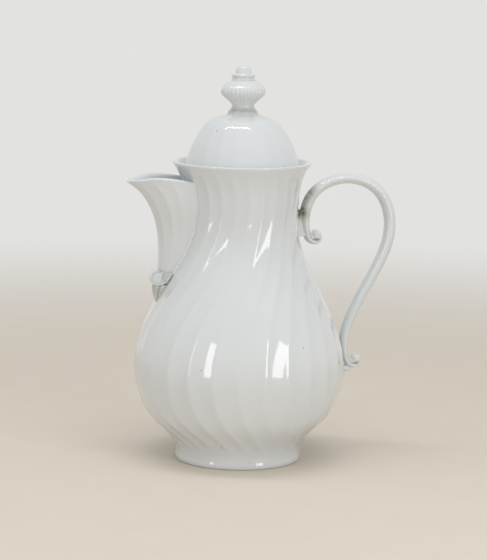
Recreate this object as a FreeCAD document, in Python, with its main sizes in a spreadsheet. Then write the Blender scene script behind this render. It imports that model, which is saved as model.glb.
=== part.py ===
import FreeCAD, Part
import math
import os

import Sketcher
from FreeCAD import Placement, Rotation, Vector

# Porcelain coffee pot, in millimetres. The table is z = 0, the pot's axis is Z, the spout points to -X and the
# handle to +X. The lid rests on a ledge inside the rim and lifts off along +Z.

SIZES = [
    ("foot_height", 9.0, "foot ring, table to the body's underside"),
    ("foot_radius", 39.9, "foot ring, outside"),
    ("foot_width", 6.4, "foot ring, thickness of its wall"),
    ("belly_rise", 51.0, "top of the foot to the widest place of the belly"),
    ("belly_radius", 66.8, "belly, over the ridges between the flutes"),
    ("shoulder_rise", 90.0, "belly to the narrowest place of the neck"),
    ("neck_radius", 35.7, "neck, over the ridges"),
    ("flare_rise", 40.0, "neck to the rim"),
    ("rim_radius", 44.4, "rim, outside"),
    ("wall", 3.3, "thickness of the body's wall"),
    ("floor_thickness", 4.5, "floor of the pot"),
    ("flute_count", 26, "swirled flutes round the body"),
    ("flute_depth", 0.9, "flute at the belly, below the ridges"),
    ("ledge_depth", 6.0, "rim to the ledge that carries the lid"),
    ("lid_radius", 37.4, "lid's edge"),
    ("lid_play", 0.9, "room round the lid's edge and round its collar"),
    ("dome_rise", 34.6, "ledge to the top of the dome"),
    ("dome_wall", 3.4, "thickness of the dome"),
    ("dome_flute_count", 20, "soft flutes round the dome"),
    ("dome_flute_depth", 0.5, "flute of the dome, below its ridges"),
    ("collar_depth", 15.5, "lid's collar, below the ledge"),
    ("collar_wall", 3.2, "thickness of the lid's collar"),
    ("knob_foot_radius", 12.8, "knob's flared foot"),
    ("knob_foot_rise", 7.4, "knob's foot, dome to melon"),
    ("knob_neck_radius", 7.0, "knob's neck"),
    ("knob_radius", 14.1, "melon of the knob"),
    ("knob_rise", 14.8, "melon, bottom to top"),
    ("knob_rib_count", 32, "ribs round the melon"),
    ("knob_rib_depth", 0.55, "groove between two ribs"),
    ("crown_radius", 7.7, "crown on the melon"),
    ("button_radius", 5.2, "button on the crown"),
    ("crown_rise", 9.2, "crown and button, melon to the top"),
    ("lip_drop", 12.0, "rim down to the lip of the spout"),
    ("lip_arch", 1.7, "rise of the lip between its tip and the neck"),
    ("spout_reach", 36.2, "neck to the tip of the spout"),
    ("spout_width", 36.4, "spout at its widest"),
    ("spout_fall", 59.0, "lip down to the scroll"),
    ("spout_wall", 2.6, "thickness of the spout's wall"),
    ("spout_flute_depth", 0.6, "flutes of the spout"),
    ("strainer_hole", 5.0, "diameter of a strainer hole"),
    ("strainer_pitch", 8.5, "distance between strainer holes"),
    ("scroll_radius", 5.2, "roll of the spout's scroll"),
    ("scroll_width", 14.0, "scroll, across the spout"),
    ("scroll_groove", 0.55, "radius of the groove that draws the volute"),
    ("leaf_length", 10.2, "leaf drop, top to point"),
    ("leaf_width", 14.5, "leaf drop, across"),
    ("leaf_height", 7.4, "leaf drop, above the body at its top"),
    ("handle_reach", 61.1, "neck to the outermost place of the handle's middle line"),
    ("handle_thickness", 7.8, "strap at the grip, in the plane of the handle"),
    ("handle_width", 10.6, "strap at the grip, across the plane of the handle"),
    ("eye_radius", 3.0, "eye of a curled end"),
    ("lug_width", 6.0, "bridge from the neck to the handle"),
    ("drop_radius", 2.7, "larger drop under the handle"),
]

FLUTE_PHASE = -101.0
DOME = "dome"

# Rings of the body in three stages, from the foot up: share of the stage's rise, share of the stage's change of
# radius, turn of the swirl in degrees, share of the flute depth.
FOOT_TO_BELLY = [
    (0.00, 0.000, 22.5, 0.0),
    (0.12, 0.153, 17.4, 0.6),
    (0.35, 0.580, 8.2, 1.0),
    (0.65, 0.892, 1.6, 1.0),
    (1.00, 1.000, 0.0, 1.0),
]
BELLY_TO_NECK = [
    (0.25, 0.142, 2.0, 1.0),
    (0.50, 0.466, 9.2, 1.0),
    (0.75, 0.802, 21.9, 1.0),
    (1.00, 1.000, 33.0, 1.0),
]
NECK_TO_RIM = [
    (0.40, 0.075, 36.3, 1.0),
    (0.70, 0.305, 34.4, 1.0),
    (0.88, 0.655, 32.0, 0.8),
    (1.00, 1.000, 30.0, 0.0),
]

# Rings of the dome: share of its rise, share of its radius, share of the flute depth.
DOME_RINGS = [
    (0.00, 1.000, 0.0),
    (0.12, 0.972, 0.5),
    (0.30, 0.918, 1.0),
    (0.48, 0.852, 1.0),
    (0.66, 0.760, 1.0),
    (0.82, 0.655, 0.8),
    (0.93, 0.530, 0.4),
    (1.00, 0.345, 0.0),
]

# Rings of the melon: share of its rise, share of its radius, share of the groove depth.
MELON_RINGS = [
    (0.00, 0.54, 0.0),
    (0.10, 0.64, 0.4),
    (0.24, 0.81, 0.8),
    (0.38, 0.94, 1.0),
    (0.52, 1.00, 1.0),
    (0.65, 0.95, 1.0),
    (0.79, 0.82, 0.6),
    (0.91, 0.67, 0.3),
    (1.00, 0.54, 0.0),
]

# Levels of the spout from the scroll up past the lip: share of the fall, standoff of the front ridge from the body
# as a share of the reach, half width as a share of the spout's half width.
SPOUT_LEVELS = [
    (0.00, 0.220, 0.50),
    (0.26, 0.390, 0.70),
    (0.49, 0.525, 0.80),
    (0.77, 0.695, 0.98),
    (0.88, 0.820, 1.00),
    (1.00, 1.000, 1.00),
    (1.07, 1.120, 1.00),
]
SPOUT_RIDGES = [0, 19, 35, 58, 90, 122, 145, 161, 180]

# Levels of the leaf drop from its point up to the scroll: share of its length, share of its width, share of its
# height above the body. Its lobes lie between the grooves, which are angles round its front.
LEAF_LEVELS = [
    (-0.10, 0.10, -0.10),
    (0.30, 0.46, 0.40),
    (0.70, 0.84, 0.80),
    (1.00, 1.00, 1.00),
    (1.10, 0.97, 0.97),
]
LEAF_GROOVES = [0, 36, 72, 108, 144, 180]

# Middle line of the handle from the upper curl to the lower one: place from the upper eye or from the lower eye as
# shares of the handle's reach, and share of the strap's thickness.
UPPER_PATH = [
    (-0.126, 0.198, 0.72),
    (-0.054, 0.408, 0.80),
    (0.309, 0.581, 0.84),
    (0.655, 0.448, 0.95),
    (0.786, 0.087, 1.00),
    (0.663, -0.336, 0.95),
]
LOWER_PATH = [
    (-0.011, 0.560, 0.88),
    (-0.121, 0.255, 0.86),
]

# Curl of a handle's end: angle round the eye, share of the way to its last radius, pull towards the eye.
CURL_TURN = [(180, 0.00, 1.0), (215, 0.33, 1.0), (250, 0.67, 1.0), (285, 1.00, 1.0), (315, 1.00, 0.7),
             (345, 1.00, 0.3)]


class Size(float):
    """A number that also knows its formula on the sheet."""

    def __new__(cls, number, formula):
        made = super().__new__(cls, number)
        made.formula = formula
        return made

    def __add__(self, other):
        return Size(float(self) + other, f"({self.formula} + {formula_of(other)})")

    def __radd__(self, other):
        return self + other

    def __sub__(self, other):
        return Size(float(self) - other, f"({self.formula} - {formula_of(other)})")

    def __rsub__(self, other):
        return Size(other - float(self), f"({formula_of(other)} - {self.formula})")

    def __mul__(self, other):
        return Size(float(self) * other, f"({self.formula} * {formula_of(other)})")

    def __rmul__(self, other):
        return self * other

    def __truediv__(self, other):
        return Size(float(self) / other, f"({self.formula} / {formula_of(other)})")

    def __neg__(self):
        return self * -1.0


def formula_of(number):
    return number.formula if isinstance(number, Size) else f"({float(number):.6g})"


def bind(thing, path, number):
    """Sets one property of a document object by its formula on the sheet."""
    thing.setExpression(path, formula_of(number))


def put(thing, x, y, z):
    """Places a document object by formulas."""
    for axis, number in zip("xyz", (x, y, z)):
        bind(thing, f".Placement.Base.{axis}", number)


doc = FreeCAD.newDocument("CoffeePot")
sheet = doc.addObject("Spreadsheet::Sheet", "Sizes")
for row, (alias, number, meaning) in enumerate(SIZES, 1):
    sheet.set(f"A{row}", meaning)
    sheet.set(f"B{row}", str(number))
    sheet.setAlias(f"B{row}", alias)
doc.recompute()


def size(alias):
    return Size(float(sheet.get(alias)), f"Sizes.{alias}")


# Sketched bodies


def origin_plane(body, role):
    return next(plane for plane in body.Origin.OriginFeatures if plane.Role == role)


def new_sketch(body, name, role):
    sketch = body.newObject("Sketcher::SketchObject", name)
    sketch.AttachmentSupport = (origin_plane(body, role), [""])
    sketch.MapMode = "FlatFace"
    return sketch


def side_arc(start, end, bulge):
    """Radius of an arc from start to end and its swell at the middle. A dome's arc is centred on the axis."""
    across = end[0] - start[0]
    along = end[1] - start[1]
    chord = across * across + along * along
    if bulge == DOME:
        radius = chord / (2 * along)
        return radius, radius - math.sqrt(float(radius) ** 2 - float(chord) / 4)
    swell = bulge if bulge > 0 else -bulge
    return chord / (8 * swell) + swell / 2, bulge


def draw_outline(sketch, corners):
    """Draws a closed outline, anticlockwise. A corner is (x, y) or (x, y, bulge): with a bulge, the side that
    ends there is an arc that swells outwards by it, or inwards if it is negative, or a dome up to the axis."""
    ends = []
    for index, corner in enumerate(corners):
        start = Vector(corners[index - 1][0], corners[index - 1][1], 0)
        end = Vector(corner[0], corner[1], 0)
        if len(corner) == 2:
            side = sketch.addGeometry(Part.LineSegment(start, end), False)
            ends.append((side, 1, 2))
            continue
        along = (end - start).normalize()
        radius, swell = side_arc(corners[index - 1], corner, corner[2])
        middle = (start + end) / 2 + Vector(along.y, -along.x, 0) * swell
        side = sketch.addGeometry(Part.Arc(start, middle, end), False)
        flipped = sketch.getPoint(side, 1).distanceToPoint(start) > sketch.getPoint(side, 2).distanceToPoint(start)
        ends.append((side, 2, 1) if flipped else (side, 1, 2))
        rule = sketch.addConstraint(Sketcher.Constraint("Radius", side, float(radius)))
        bind(sketch, f"Constraints[{rule}]", radius)
    for index, corner in enumerate(corners):
        side, _, last = ends[index]
        following, first, _ = ends[(index + 1) % len(ends)]
        sketch.addConstraint(Sketcher.Constraint("Coincident", side, last, following, first))
        for kind, axis, number in (("DistanceX", -2, corner[0]), ("DistanceY", -1, corner[1])):
            if float(number) == 0:
                sketch.addConstraint(Sketcher.Constraint("PointOnObject", side, last, axis))
                continue
            rule = sketch.addConstraint(Sketcher.Constraint(kind, -1, 1, side, last, float(number)))
            bind(sketch, f"Constraints[{rule}]", number)


def turned(label, corners):
    """A body turned about Z from corners of (radius, height) or (radius, height, bulge)."""
    body = doc.addObject("PartDesign::Body", label)
    sketch = new_sketch(body, label + "_outline", "XZ_Plane")
    draw_outline(sketch, corners)
    turn = body.newObject("PartDesign::Revolution", label + "_turn")
    turn.Profile = sketch
    turn.ReferenceAxis = (sketch, ["V_Axis"])
    turn.Angle = 360
    return body


def slab(label, corners, width):
    """A body cut out along an outline in the XZ plane, with half its width on each side of that plane."""
    body = doc.addObject("PartDesign::Body", label)
    sketch = new_sketch(body, label + "_outline", "XZ_Plane")
    draw_outline(sketch, corners)
    pad = body.newObject("PartDesign::Pad", label + "_pad")
    pad.Profile = sketch
    pad.SideType = "Symmetric"
    bind(pad, "Length", width)
    return body


# Shapes and booleans


def solid(label, shape):
    feature = doc.addObject("Part::Feature", label)
    feature.Shape = shape
    return feature


def cut(label, base, *tools):
    """The base less each tool in turn. The last cut has the label."""
    for index, tool in enumerate(tools, 1):
        made = doc.addObject("Part::Cut", label if index == len(tools) else label + "_part_cut")
        made.Base = base
        made.Tool = tool
        base = made
    return base


def common(label, base, tool):
    made = doc.addObject("Part::Common", label)
    made.Base = base
    made.Tool = tool
    return made


def fuse(label, pieces):
    made = doc.addObject("Part::MultiFuse", label)
    made.Shapes = pieces
    return made


def ball(label, along, across, deep):
    """An ellipsoid by its half sizes along its own Z, X and Y."""
    made = doc.addObject("Part::Ellipsoid", label)
    bind(made, "Radius1", along)
    bind(made, "Radius2", across)
    bind(made, "Radius3", deep)
    made.Angle1 = -90
    return made


# Flutes


def hollow_edge(start, middle, end):
    """A shallow curve from one ridge to the next through the middle of the flute."""
    curve = Part.BezierCurve()
    curve.setPoles([start, middle * 2 - (start + end) / 2, end])
    return curve.toShape()


def fluted_ring(height, ridge, middle, turn, count):
    """A closed ring of flutes: radius of the ridges, radius in the middle of a flute, and turn in degrees."""
    def spot(radius, steps):
        angle = math.radians(turn + 360.0 / count * steps)
        return Vector(radius * math.cos(angle), radius * math.sin(angle), height)

    edges = []
    for step in range(count):
        edges.append(hollow_edge(spot(ridge, step), spot(middle, step + 0.5), spot(ridge, step + 1)))
    return Part.Wire(edges)


def fluted_loft(rings, count):
    """A solid through fluted rings of (height, ridge radius, middle radius, turn)."""
    return Part.makeLoft([fluted_ring(*ring, int(count)) for ring in rings], True, False)


# Heights and radii that several pieces share

foot_top = size("foot_height")
belly = foot_top + size("belly_rise")
neck = belly + size("shoulder_rise")
rim = neck + size("flare_rise")
seat = rim - size("ledge_depth")
bore = size("neck_radius") - size("wall")
gallery = size("lid_radius") + size("lid_play")
collar_radius = bore - size("lid_play")
collar_bore = collar_radius - size("collar_wall")
dome_top = seat + size("dome_rise")
melon_bottom = dome_top + size("knob_foot_rise")
melon_top = melon_bottom + size("knob_rise")
knob_top = melon_top + size("crown_rise")
lip = rim - size("lip_drop")
spout_bottom = lip - size("spout_fall")


def body_rings():
    """Height, radius, turn and flute depth of each ring of the body."""
    stages = [
        (FOOT_TO_BELLY, foot_top, belly, size("foot_radius"), size("belly_radius")),
        (BELLY_TO_NECK, belly, neck, size("belly_radius"), size("neck_radius")),
        (NECK_TO_RIM, neck, rim, size("neck_radius"), size("rim_radius")),
    ]
    rings = []
    for rows, low, high, first, last in stages:
        for rise, change, turn, share in rows:
            radius = float(first) + change * (last - first)
            depth = share * size("flute_depth") * radius / size("belly_radius")
            rings.append((float(low) + rise * (high - low), float(radius), turn, float(depth)))
    return rings


rings = body_rings()
profile = Part.BSplineCurve()
profile.interpolate([Vector(radius, 0, height) for height, radius, turn, depth in rings])


def surface(height):
    """Radius of the body over its ridges at a height."""
    level = Part.Line(Vector(0, 0, height), Vector(1, 0, height))
    return profile.intersectCC(level)[0].X


# Body: the swirled outside is a loft through the rings, and the inside and the rim are turned

swirl = [(height, radius, radius - depth, FLUTE_PHASE + turn) for height, radius, turn, depth in rings]
skin = solid("body_outside", fluted_loft(swirl, size("flute_count")))


def wall_face():
    """Half section of the body: true inside and rim, and an outside that clears the flutes."""
    wall = float(size("wall"))
    rim_round = 0.48 * wall
    floor = float(foot_top + size("floor_thickness"))
    inside = [Vector(radius - wall, 0, height) for height, radius, turn, depth in rings
              if floor + 2.4 * wall < height < neck - 1.5 * wall]
    inside.insert(0, Vector(surface(floor) - 1.3 * wall, 0, floor))
    inside.append(Vector(bore, 0, neck - 1.2 * wall))
    hollow = Part.BSplineCurve()
    hollow.interpolate(inside)
    clear = float(size("belly_radius")) + 10
    rim_outer = float(size("rim_radius")) + 0.09 * wall
    rim_inner = rim_outer - 1.03 * wall
    start = inside[0]
    path = [Vector(0, 0, floor), Vector(0, 0, foot_top), Vector(clear, 0, foot_top),
            Vector(clear, 0, rim - rim_round), Vector(rim_outer, 0, rim - rim_round)]
    crest = Vector(rim_outer - rim_round, 0, rim)
    brow = Vector(rim_outer - 0.3 * rim_round, 0, rim - 0.3 * rim_round)
    inner = Vector(rim_inner, 0, rim - rim_round)
    cheek = Vector(rim_inner + 0.35 * rim_round, 0, rim - 0.25 * rim_round)
    back = [inner, Vector(gallery, 0, seat), Vector(bore, 0, seat), inside[-1]]
    edges = [Part.makePolygon([start] + path), Part.Arc(path[-1], brow, crest).toShape(),
             Part.Arc(crest, cheek, inner).toShape(), Part.makePolygon(back), hollow.toShape()]
    return Part.Face(Part.Wire(Part.__sortEdges__([edge for shape in edges for edge in shape.Edges])))


wall_ring = solid("body_wall", wall_face().revolve(Vector(), Vector(0, 0, 1), 360))
walled = common("body_walled", skin, wall_ring)

# The rim stands up round the lid's edge as a piece of its own, from the ledge to the top
rim_zone = turned("rim_zone", [
    (Size(0, "0"), seat),
    (size("rim_radius") + 5.0, seat),
    (size("rim_radius") + 5.0, rim + 5.0),
    (Size(0, "0"), rim + 5.0),
])
body_rim = common("body_rim", walled, rim_zone)


def strainer_holes():
    """Seven holes through the wall behind the spout, six round one."""
    pitch = size("strainer_pitch")
    middle = lip - 0.42 * size("spout_fall")
    places = [(0.0, 0.0)]
    for sixth in range(6):
        angle = math.radians(60 * sixth)
        places.append((math.cos(angle), math.sin(angle)))
    holes = []
    for across, up in places:
        hole = doc.addObject("Part::Cylinder", "strainer_hole")
        bind(hole, "Radius", size("strainer_hole") / 2)
        bind(hole, "Height", size("neck_radius"))
        hole.Placement = Placement(Vector(), Rotation(Vector(0, 1, 0), -90))
        put(hole, -0.6 * size("neck_radius"), pitch * across, middle + pitch * up)
        holes.append(hole)
    return fuse("strainer", holes)


body_shell = cut("body_shell", walled, strainer_holes(), rim_zone)

foot_round = 0.19 * size("foot_width")
foot_bore = size("foot_radius") - size("foot_width")
foot_ring = turned("foot_ring", [
    (foot_bore, foot_round),
    (foot_bore + foot_round, Size(0, "0"), 0.29 * foot_round),
    (size("foot_radius") - foot_round, Size(0, "0")),
    (size("foot_radius"), foot_round, 0.29 * foot_round),
    (size("foot_radius"), foot_top, -0.055 * size("foot_width")),
    (foot_bore, foot_top),
])


# Spout


def spout_section(height, standoff, half_width):
    """Plan of the spout at one height: a half ellipse of flutes whose sides flare on into the body."""
    root = surface(min(height, float(rim))) - float(size("wall")) * 0.75
    reach = standoff + size("wall") * 0.75
    flared = float(half_width + size("wall") * 0.4)
    back = -math.sqrt(root ** 2 - flared ** 2)

    def spot(degrees, inward):
        angle = math.radians(degrees)
        return Vector(-root - (reach - inward) * math.sin(angle), (half_width - inward) * math.cos(angle), height)

    edges = []
    for first, last in zip(SPOUT_RIDGES, SPOUT_RIDGES[1:]):
        middle = spot((first + last) / 2, size("spout_flute_depth"))
        edges.append(hollow_edge(spot(first, 0), middle, spot(last, 0)))
    corners = [spot(180, 0), Vector(back, -flared, height), Vector(back, flared, height), spot(0, 0)]
    for start, end in zip(corners, corners[1:]):
        edges.append(Part.makeLine(start, end))
    return Part.Wire(edges)


def spout_loft(levels, inward):
    sections = []
    for rise, standoff, width in levels:
        height = float(spout_bottom) + rise * size("spout_fall")
        slope = 1.5 if rise > 0.7 else 1.1
        reach = standoff * size("spout_reach") - inward * slope
        sections.append(spout_section(float(height), float(reach), width * size("spout_width") / 2 - inward))
    return Part.makeLoft(sections, True, False)


beak = solid("spout_outside", spout_loft(SPOUT_LEVELS, 0))
channel = solid("spout_channel", spout_loft(SPOUT_LEVELS[1:], size("spout_wall")))
lip_chord = size("spout_reach")
lip_bow = lip_chord * lip_chord / (8 * size("lip_arch")) + size("lip_arch") / 2
lip_arch = doc.addObject("Part::Cylinder", "lip_arch")
bind(lip_arch, "Radius", lip_bow)
bind(lip_arch, "Height", 2 * size("spout_width"))
lip_arch.Placement = Placement(Vector(), Rotation(Vector(1, 0, 0), -90))
lip_foot = surface(float(lip))
put(lip_arch, -lip_foot - lip_chord / 2, -size("spout_width"), lip + size("lip_arch") - lip_bow)
spout = cut("spout", common("spout_lipped", beak, lip_arch), channel, skin)


# Scroll and leaf under the spout

scroll_height = spout_bottom - 0.42 * size("scroll_radius")
scroll_out = surface(float(scroll_height)) + 1.23 * size("scroll_radius")
scroll_in = surface(float(spout_bottom)) - size("wall") * 0.75


def scroll_groove(side):
    """A ring-shaped bar along a spiral on one end of the roll."""
    path = doc.addObject("Part::Spiral", "volute_path")
    bind(path, "Radius", 0.36 * size("scroll_radius"))
    bind(path, "Growth", 0.36 * size("scroll_radius"))
    path.Rotations = 1.25
    bar = doc.addObject("Part::Circle", "volute_bar")
    bind(bar, "Radius", size("scroll_groove"))
    bar.Placement = Placement(Vector(), Rotation(Vector(1, 0, 0), 90))
    put(bar, 0.36 * size("scroll_radius"), 0.0, 0.0)
    groove = doc.addObject("Part::Sweep", "volute_groove")
    groove.Sections = [bar]
    groove.Spine = path
    groove.Solid = True
    groove.Frenet = True
    groove.Placement = Placement(Vector(), Rotation(Vector(1, 0, 0), 90))
    put(groove, -scroll_out, side * size("scroll_width") / 2, scroll_height)
    return groove


roll = doc.addObject("Part::Cylinder", "scroll_roll")
bind(roll, "Radius", size("scroll_radius"))
bind(roll, "Height", size("scroll_width"))
roll.Placement = Placement(Vector(), Rotation(Vector(1, 0, 0), 90))
put(roll, -scroll_out, size("scroll_width") / 2, scroll_height)
scroll_root = slab("scroll_root", [
    (-scroll_out, scroll_height - 0.6 * size("scroll_radius")),
    (-scroll_in, scroll_height - 0.6 * size("scroll_radius")),
    (-scroll_in, spout_bottom),
    (-scroll_out, spout_bottom),
], 0.7 * size("scroll_width"))
scroll_blank = cut("scroll_grooved", fuse("scroll_blank", [roll, scroll_root]), scroll_groove(1), scroll_groove(-1))
spout_scroll = cut("spout_scroll", scroll_blank, beak, skin)


def leaf_section(height, half_width, standoff):
    """Plan of the leaf drop at one height: five lobes round its front, closed inside the body's wall."""
    sunk = 0.5 * size("wall")
    root = surface(height) - float(sunk)
    reach = standoff + sunk

    def spot(degrees, inward):
        angle = math.radians(degrees)
        return Vector(-root - (reach - inward) * math.sin(angle), (half_width - inward) * math.cos(angle), height)

    groove = 0.125 * half_width
    edges = []
    for first, last in zip(LEAF_GROOVES, LEAF_GROOVES[1:]):
        edges.append(hollow_edge(spot(first, groove), spot((first + last) / 2, 0), spot(last, groove)))
    edges.append(Part.makeLine(spot(180, groove), spot(0, groove)))
    return Part.Wire(edges)


def leaf_loft():
    """The leaf drop from its point on the body up to the underside of the scroll."""
    low = scroll_height - size("scroll_radius") - size("leaf_length")
    sections = []
    for rise, across, out in LEAF_LEVELS:
        height = float(low + rise * size("leaf_length"))
        sections.append(leaf_section(height, float(across * size("leaf_width") / 2), out * size("leaf_height")))
    return Part.makeLoft(sections, True, False)


spout_leaf = cut("spout_leaf", solid("leaf_blank", leaf_loft()), skin, scroll_blank)


# Handle

reach = size("handle_reach")
eye = size("eye_radius")
upper_out = size("neck_radius") + 0.214 * reach
upper_height = neck - 0.17 * size("flare_rise")
upper_eye = Vector(upper_out, 0, upper_height)
lower_eye = Vector(size("belly_radius") + 0.154 * reach, 0, belly + 0.055 * size("belly_rise"))


def curl(eye, first_radius, last_radius, first_share, last_share):
    """Middle line of a curled end: a quarter turn and more round below the eye, closing in, and then a hook into
    the eye. Each spot has its share of the strap's thickness."""
    spots = []
    for degrees, part, pull in CURL_TURN:
        angle = math.radians(degrees)
        radius = (first_radius + (last_radius - first_radius) * part) * pull
        spot = eye + Vector(math.cos(angle), 0, math.sin(angle)) * radius
        spots.append((spot, first_share + (last_share - first_share) * part))
    return spots


def handle_line():
    """Places on the strap's middle line with the strap's shares, from the upper curl's tip to the lower one's."""
    line = curl(upper_eye, 2.13 * eye, 1.6 * eye, 0.56, 0.36)[::-1]
    for out, up, share in UPPER_PATH:
        line.append((upper_eye + Vector(out * reach, 0, up * reach), share))
    for out, up, share in LOWER_PATH:
        line.append((lower_eye + Vector(out * reach, 0, up * reach), share))
    return line + curl(lower_eye, 2.23 * eye, 1.4 * eye, 0.62, 0.32)


def strap_section(spot, along, share):
    """A soft lozenge across the strap, with its ridges at the sides."""
    thick = share * size("handle_thickness") / 2
    wide = (0.35 + 0.65 * share) * size("handle_width") / 2
    across = Vector(0, 1, 0)
    normal = across.cross(along).normalize()
    spots = []
    for step in range(8):
        angle = math.radians(45 * step)
        pull = 0.93 if step % 2 else 1.0
        spots.append(spot + normal * (thick * pull * math.cos(angle)) + across * (wide * pull * math.sin(angle)))
    curve = Part.BSplineCurve()
    curve.interpolate(spots, PeriodicFlag=True)
    return Part.Wire(curve.toShape())


def strap():
    """The strap as a loft of lozenges along its middle line, closer together in the curls."""
    section_gap = 9.0
    line = handle_line()
    travel = [0.0]
    for (start, _), (end, _) in zip(line, line[1:]):
        travel.append(travel[-1] + start.distanceToPoint(end))
    path = Part.BSplineCurve()
    path.interpolate([spot for spot, share in line], Parameters=travel)
    sections = []
    for index in range(len(line) - 1):
        steps = max(1, round((travel[index + 1] - travel[index]) / section_gap))
        for step in range(steps):
            part = step / steps
            place = travel[index] + (travel[index + 1] - travel[index]) * part
            share = line[index][1] + (line[index + 1][1] - line[index][1]) * part
            sections.append(strap_section(path.value(place), path.tangent(place)[0], share))
    sections.append(strap_section(path.value(travel[-1]), path.tangent(travel[-1])[0], line[-1][1]))
    return Part.makeLoft(sections, True, False)


def handle_eye(spot, share):
    """The eye of a curl: a short roll across the strap with rounded ends."""
    width = 0.8 * size("handle_width")
    blank = doc.addObject("Part::Cylinder", "eye_roll")
    bind(blank, "Radius", share * eye)
    bind(blank, "Height", width)
    blank.Placement = Placement(spot + Vector(0, width / 2, 0), Rotation(Vector(1, 0, 0), 90))
    rounded = doc.addObject("Part::Fillet", "handle_eye")
    rounded.Base = blank
    rounding = float(eye) / 3
    rounded.Edges = [(1, rounding, rounding), (3, rounding, rounding)]
    return rounded


eyes = [handle_eye(upper_eye, 1.0), handle_eye(lower_eye, 0.87)]
handle_blank = fuse("handle_blank", [solid("handle_strap", strap())] + eyes)
handle = cut("handle", handle_blank, skin)

lug_root = size("neck_radius") - 0.6 * size("wall")
lug = slab("lug_blank", [
    (lug_root, upper_height - 0.57 * eye),
    (upper_out - 2.33 * eye, upper_height - 0.23 * eye),
    (upper_out - 2.8 * eye, upper_height + 4.1 * eye),
    (lug_root, upper_height + 3.6 * eye),
], size("lug_width"))
handle_upper_lug = cut("handle_upper_lug", lug, skin, handle_blank)

drops = []
for below, share in ((2.81, 1.0), (4.3, 0.72)):
    radius = share * size("drop_radius")
    drop = ball("drop", radius, radius, radius)
    height = float(lower_eye.z - below * size("drop_radius"))
    put(drop, surface(height) + radius / 3, 0.0, height)
    drops.append(drop)
handle_lower_drop = cut("handle_lower_drop", fuse("drops", drops), skin, handle_blank)


# Lid

dome_rings = []
for rise, part, share in DOME_RINGS:
    ridge = part * size("lid_radius")
    dome_rings.append((seat + rise * size("dome_rise"), ridge, ridge - share * size("dome_flute_depth"), 0))
dome_skin = solid("dome_outside", fluted_loft(dome_rings, size("dome_flute_count")))
dome_hollow = turned("dome_hollow", [
    (Size(0, "0"), seat - 1.0),
    (collar_bore, seat - 1.0),
    (collar_bore, seat + 0.22 * size("dome_rise")),
    (0.62 * collar_bore, dome_top - 2.2 * size("dome_wall"), 1.6),
    (Size(0, "0"), dome_top - 1.1 * size("dome_wall"), DOME),
])
lid_dome = cut("lid_dome", dome_skin, dome_hollow)

lid_collar = turned("lid_collar", [
    (collar_bore, seat - size("collar_depth") + 0.6),
    (collar_bore + 0.6, seat - size("collar_depth"), 0.15),
    (collar_radius - 1.2, seat - size("collar_depth")),
    (collar_radius, seat - size("collar_depth") + 1.2, 0.35),
    (collar_radius, seat),
    (collar_bore, seat),
])

knob_foot = turned("knob_foot", [
    (Size(0, "0"), dome_top),
    (size("knob_foot_radius"), dome_top),
    (1.34 * size("knob_neck_radius"), dome_top + 0.30 * size("knob_foot_rise"), -0.3),
    (1.32 * size("knob_neck_radius"), dome_top + 0.38 * size("knob_foot_rise"), 0.1),
    (size("knob_neck_radius"), dome_top + 0.86 * size("knob_foot_rise"), -0.4),
    (size("knob_neck_radius") + 0.4, melon_bottom, -0.1),
    (Size(0, "0"), melon_bottom),
])

melon_rings = []
for rise, part, share in MELON_RINGS:
    crest = part * size("knob_radius")
    melon_rings.append((melon_bottom + rise * size("knob_rise"), crest - share * size("knob_rib_depth"), crest, 0))
knob = solid("knob", fluted_loft(melon_rings, size("knob_rib_count")))

crown_waist = 0.93 * size("crown_radius")
knob_cap = turned("knob_cap", [
    (Size(0, "0"), melon_top),
    (size("crown_radius"), melon_top),
    (crown_waist, melon_top + 0.14 * size("crown_rise"), -0.2),
    (size("crown_radius"), melon_top + 0.28 * size("crown_rise"), -0.2),
    (size("button_radius") + 0.6, melon_top + 0.42 * size("crown_rise"), 0.5),
    (size("button_radius"), melon_top + 0.55 * size("crown_rise"), -0.2),
    (Size(0, "0"), knob_top, DOME),
])

# Check each piece and write its file

doc.recompute()
PIECES = [body_shell, body_rim, foot_ring, spout, spout_scroll, spout_leaf, handle, handle_upper_lug,
          handle_lower_drop, lid_dome, lid_collar, knob_foot, knob, knob_cap]
for thing in doc.Objects:
    if "Invalid" in thing.State or "Error" in thing.State:
        raise RuntimeError(f"{thing.Label}: {thing.State}")
os.makedirs("parts", exist_ok=True)
for piece in PIECES:
    if piece.Shape.isNull() or not piece.Shape.isValid():
        raise RuntimeError(f"{piece.Label}: bad shape")
    piece.Shape.exportStep(f"parts/{piece.Label}.step")
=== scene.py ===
import math

import bmesh
import bpy
import numpy as np
from mathutils import Matrix, Vector


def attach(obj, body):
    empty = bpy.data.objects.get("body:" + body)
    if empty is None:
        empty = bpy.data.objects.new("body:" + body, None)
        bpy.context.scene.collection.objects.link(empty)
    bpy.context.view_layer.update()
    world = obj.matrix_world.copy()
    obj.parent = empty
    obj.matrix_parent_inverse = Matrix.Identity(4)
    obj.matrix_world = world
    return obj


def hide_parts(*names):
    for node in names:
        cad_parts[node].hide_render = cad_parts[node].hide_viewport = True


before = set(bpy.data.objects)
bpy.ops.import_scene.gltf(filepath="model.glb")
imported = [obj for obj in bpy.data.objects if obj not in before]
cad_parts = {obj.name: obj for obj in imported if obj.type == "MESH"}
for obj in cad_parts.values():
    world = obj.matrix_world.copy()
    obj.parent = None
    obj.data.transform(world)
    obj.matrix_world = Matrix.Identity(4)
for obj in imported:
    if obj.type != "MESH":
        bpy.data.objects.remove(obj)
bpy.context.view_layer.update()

# A white porcelain coffee pot. The pieces are shaped in millimetres, in the frame of the solids: the table is
# z = 0, the pot's axis is Z, the spout points to -X and the handle to +X.

MM = 0.001
ACROSS = np.array((0.0, 1.0, 0.0))

# Meshes: distance within which points merge, angle past which an edge is crisp
MERGE_DISTANCE = 0.002
CRISP_ANGLE = math.radians(50)

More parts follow.
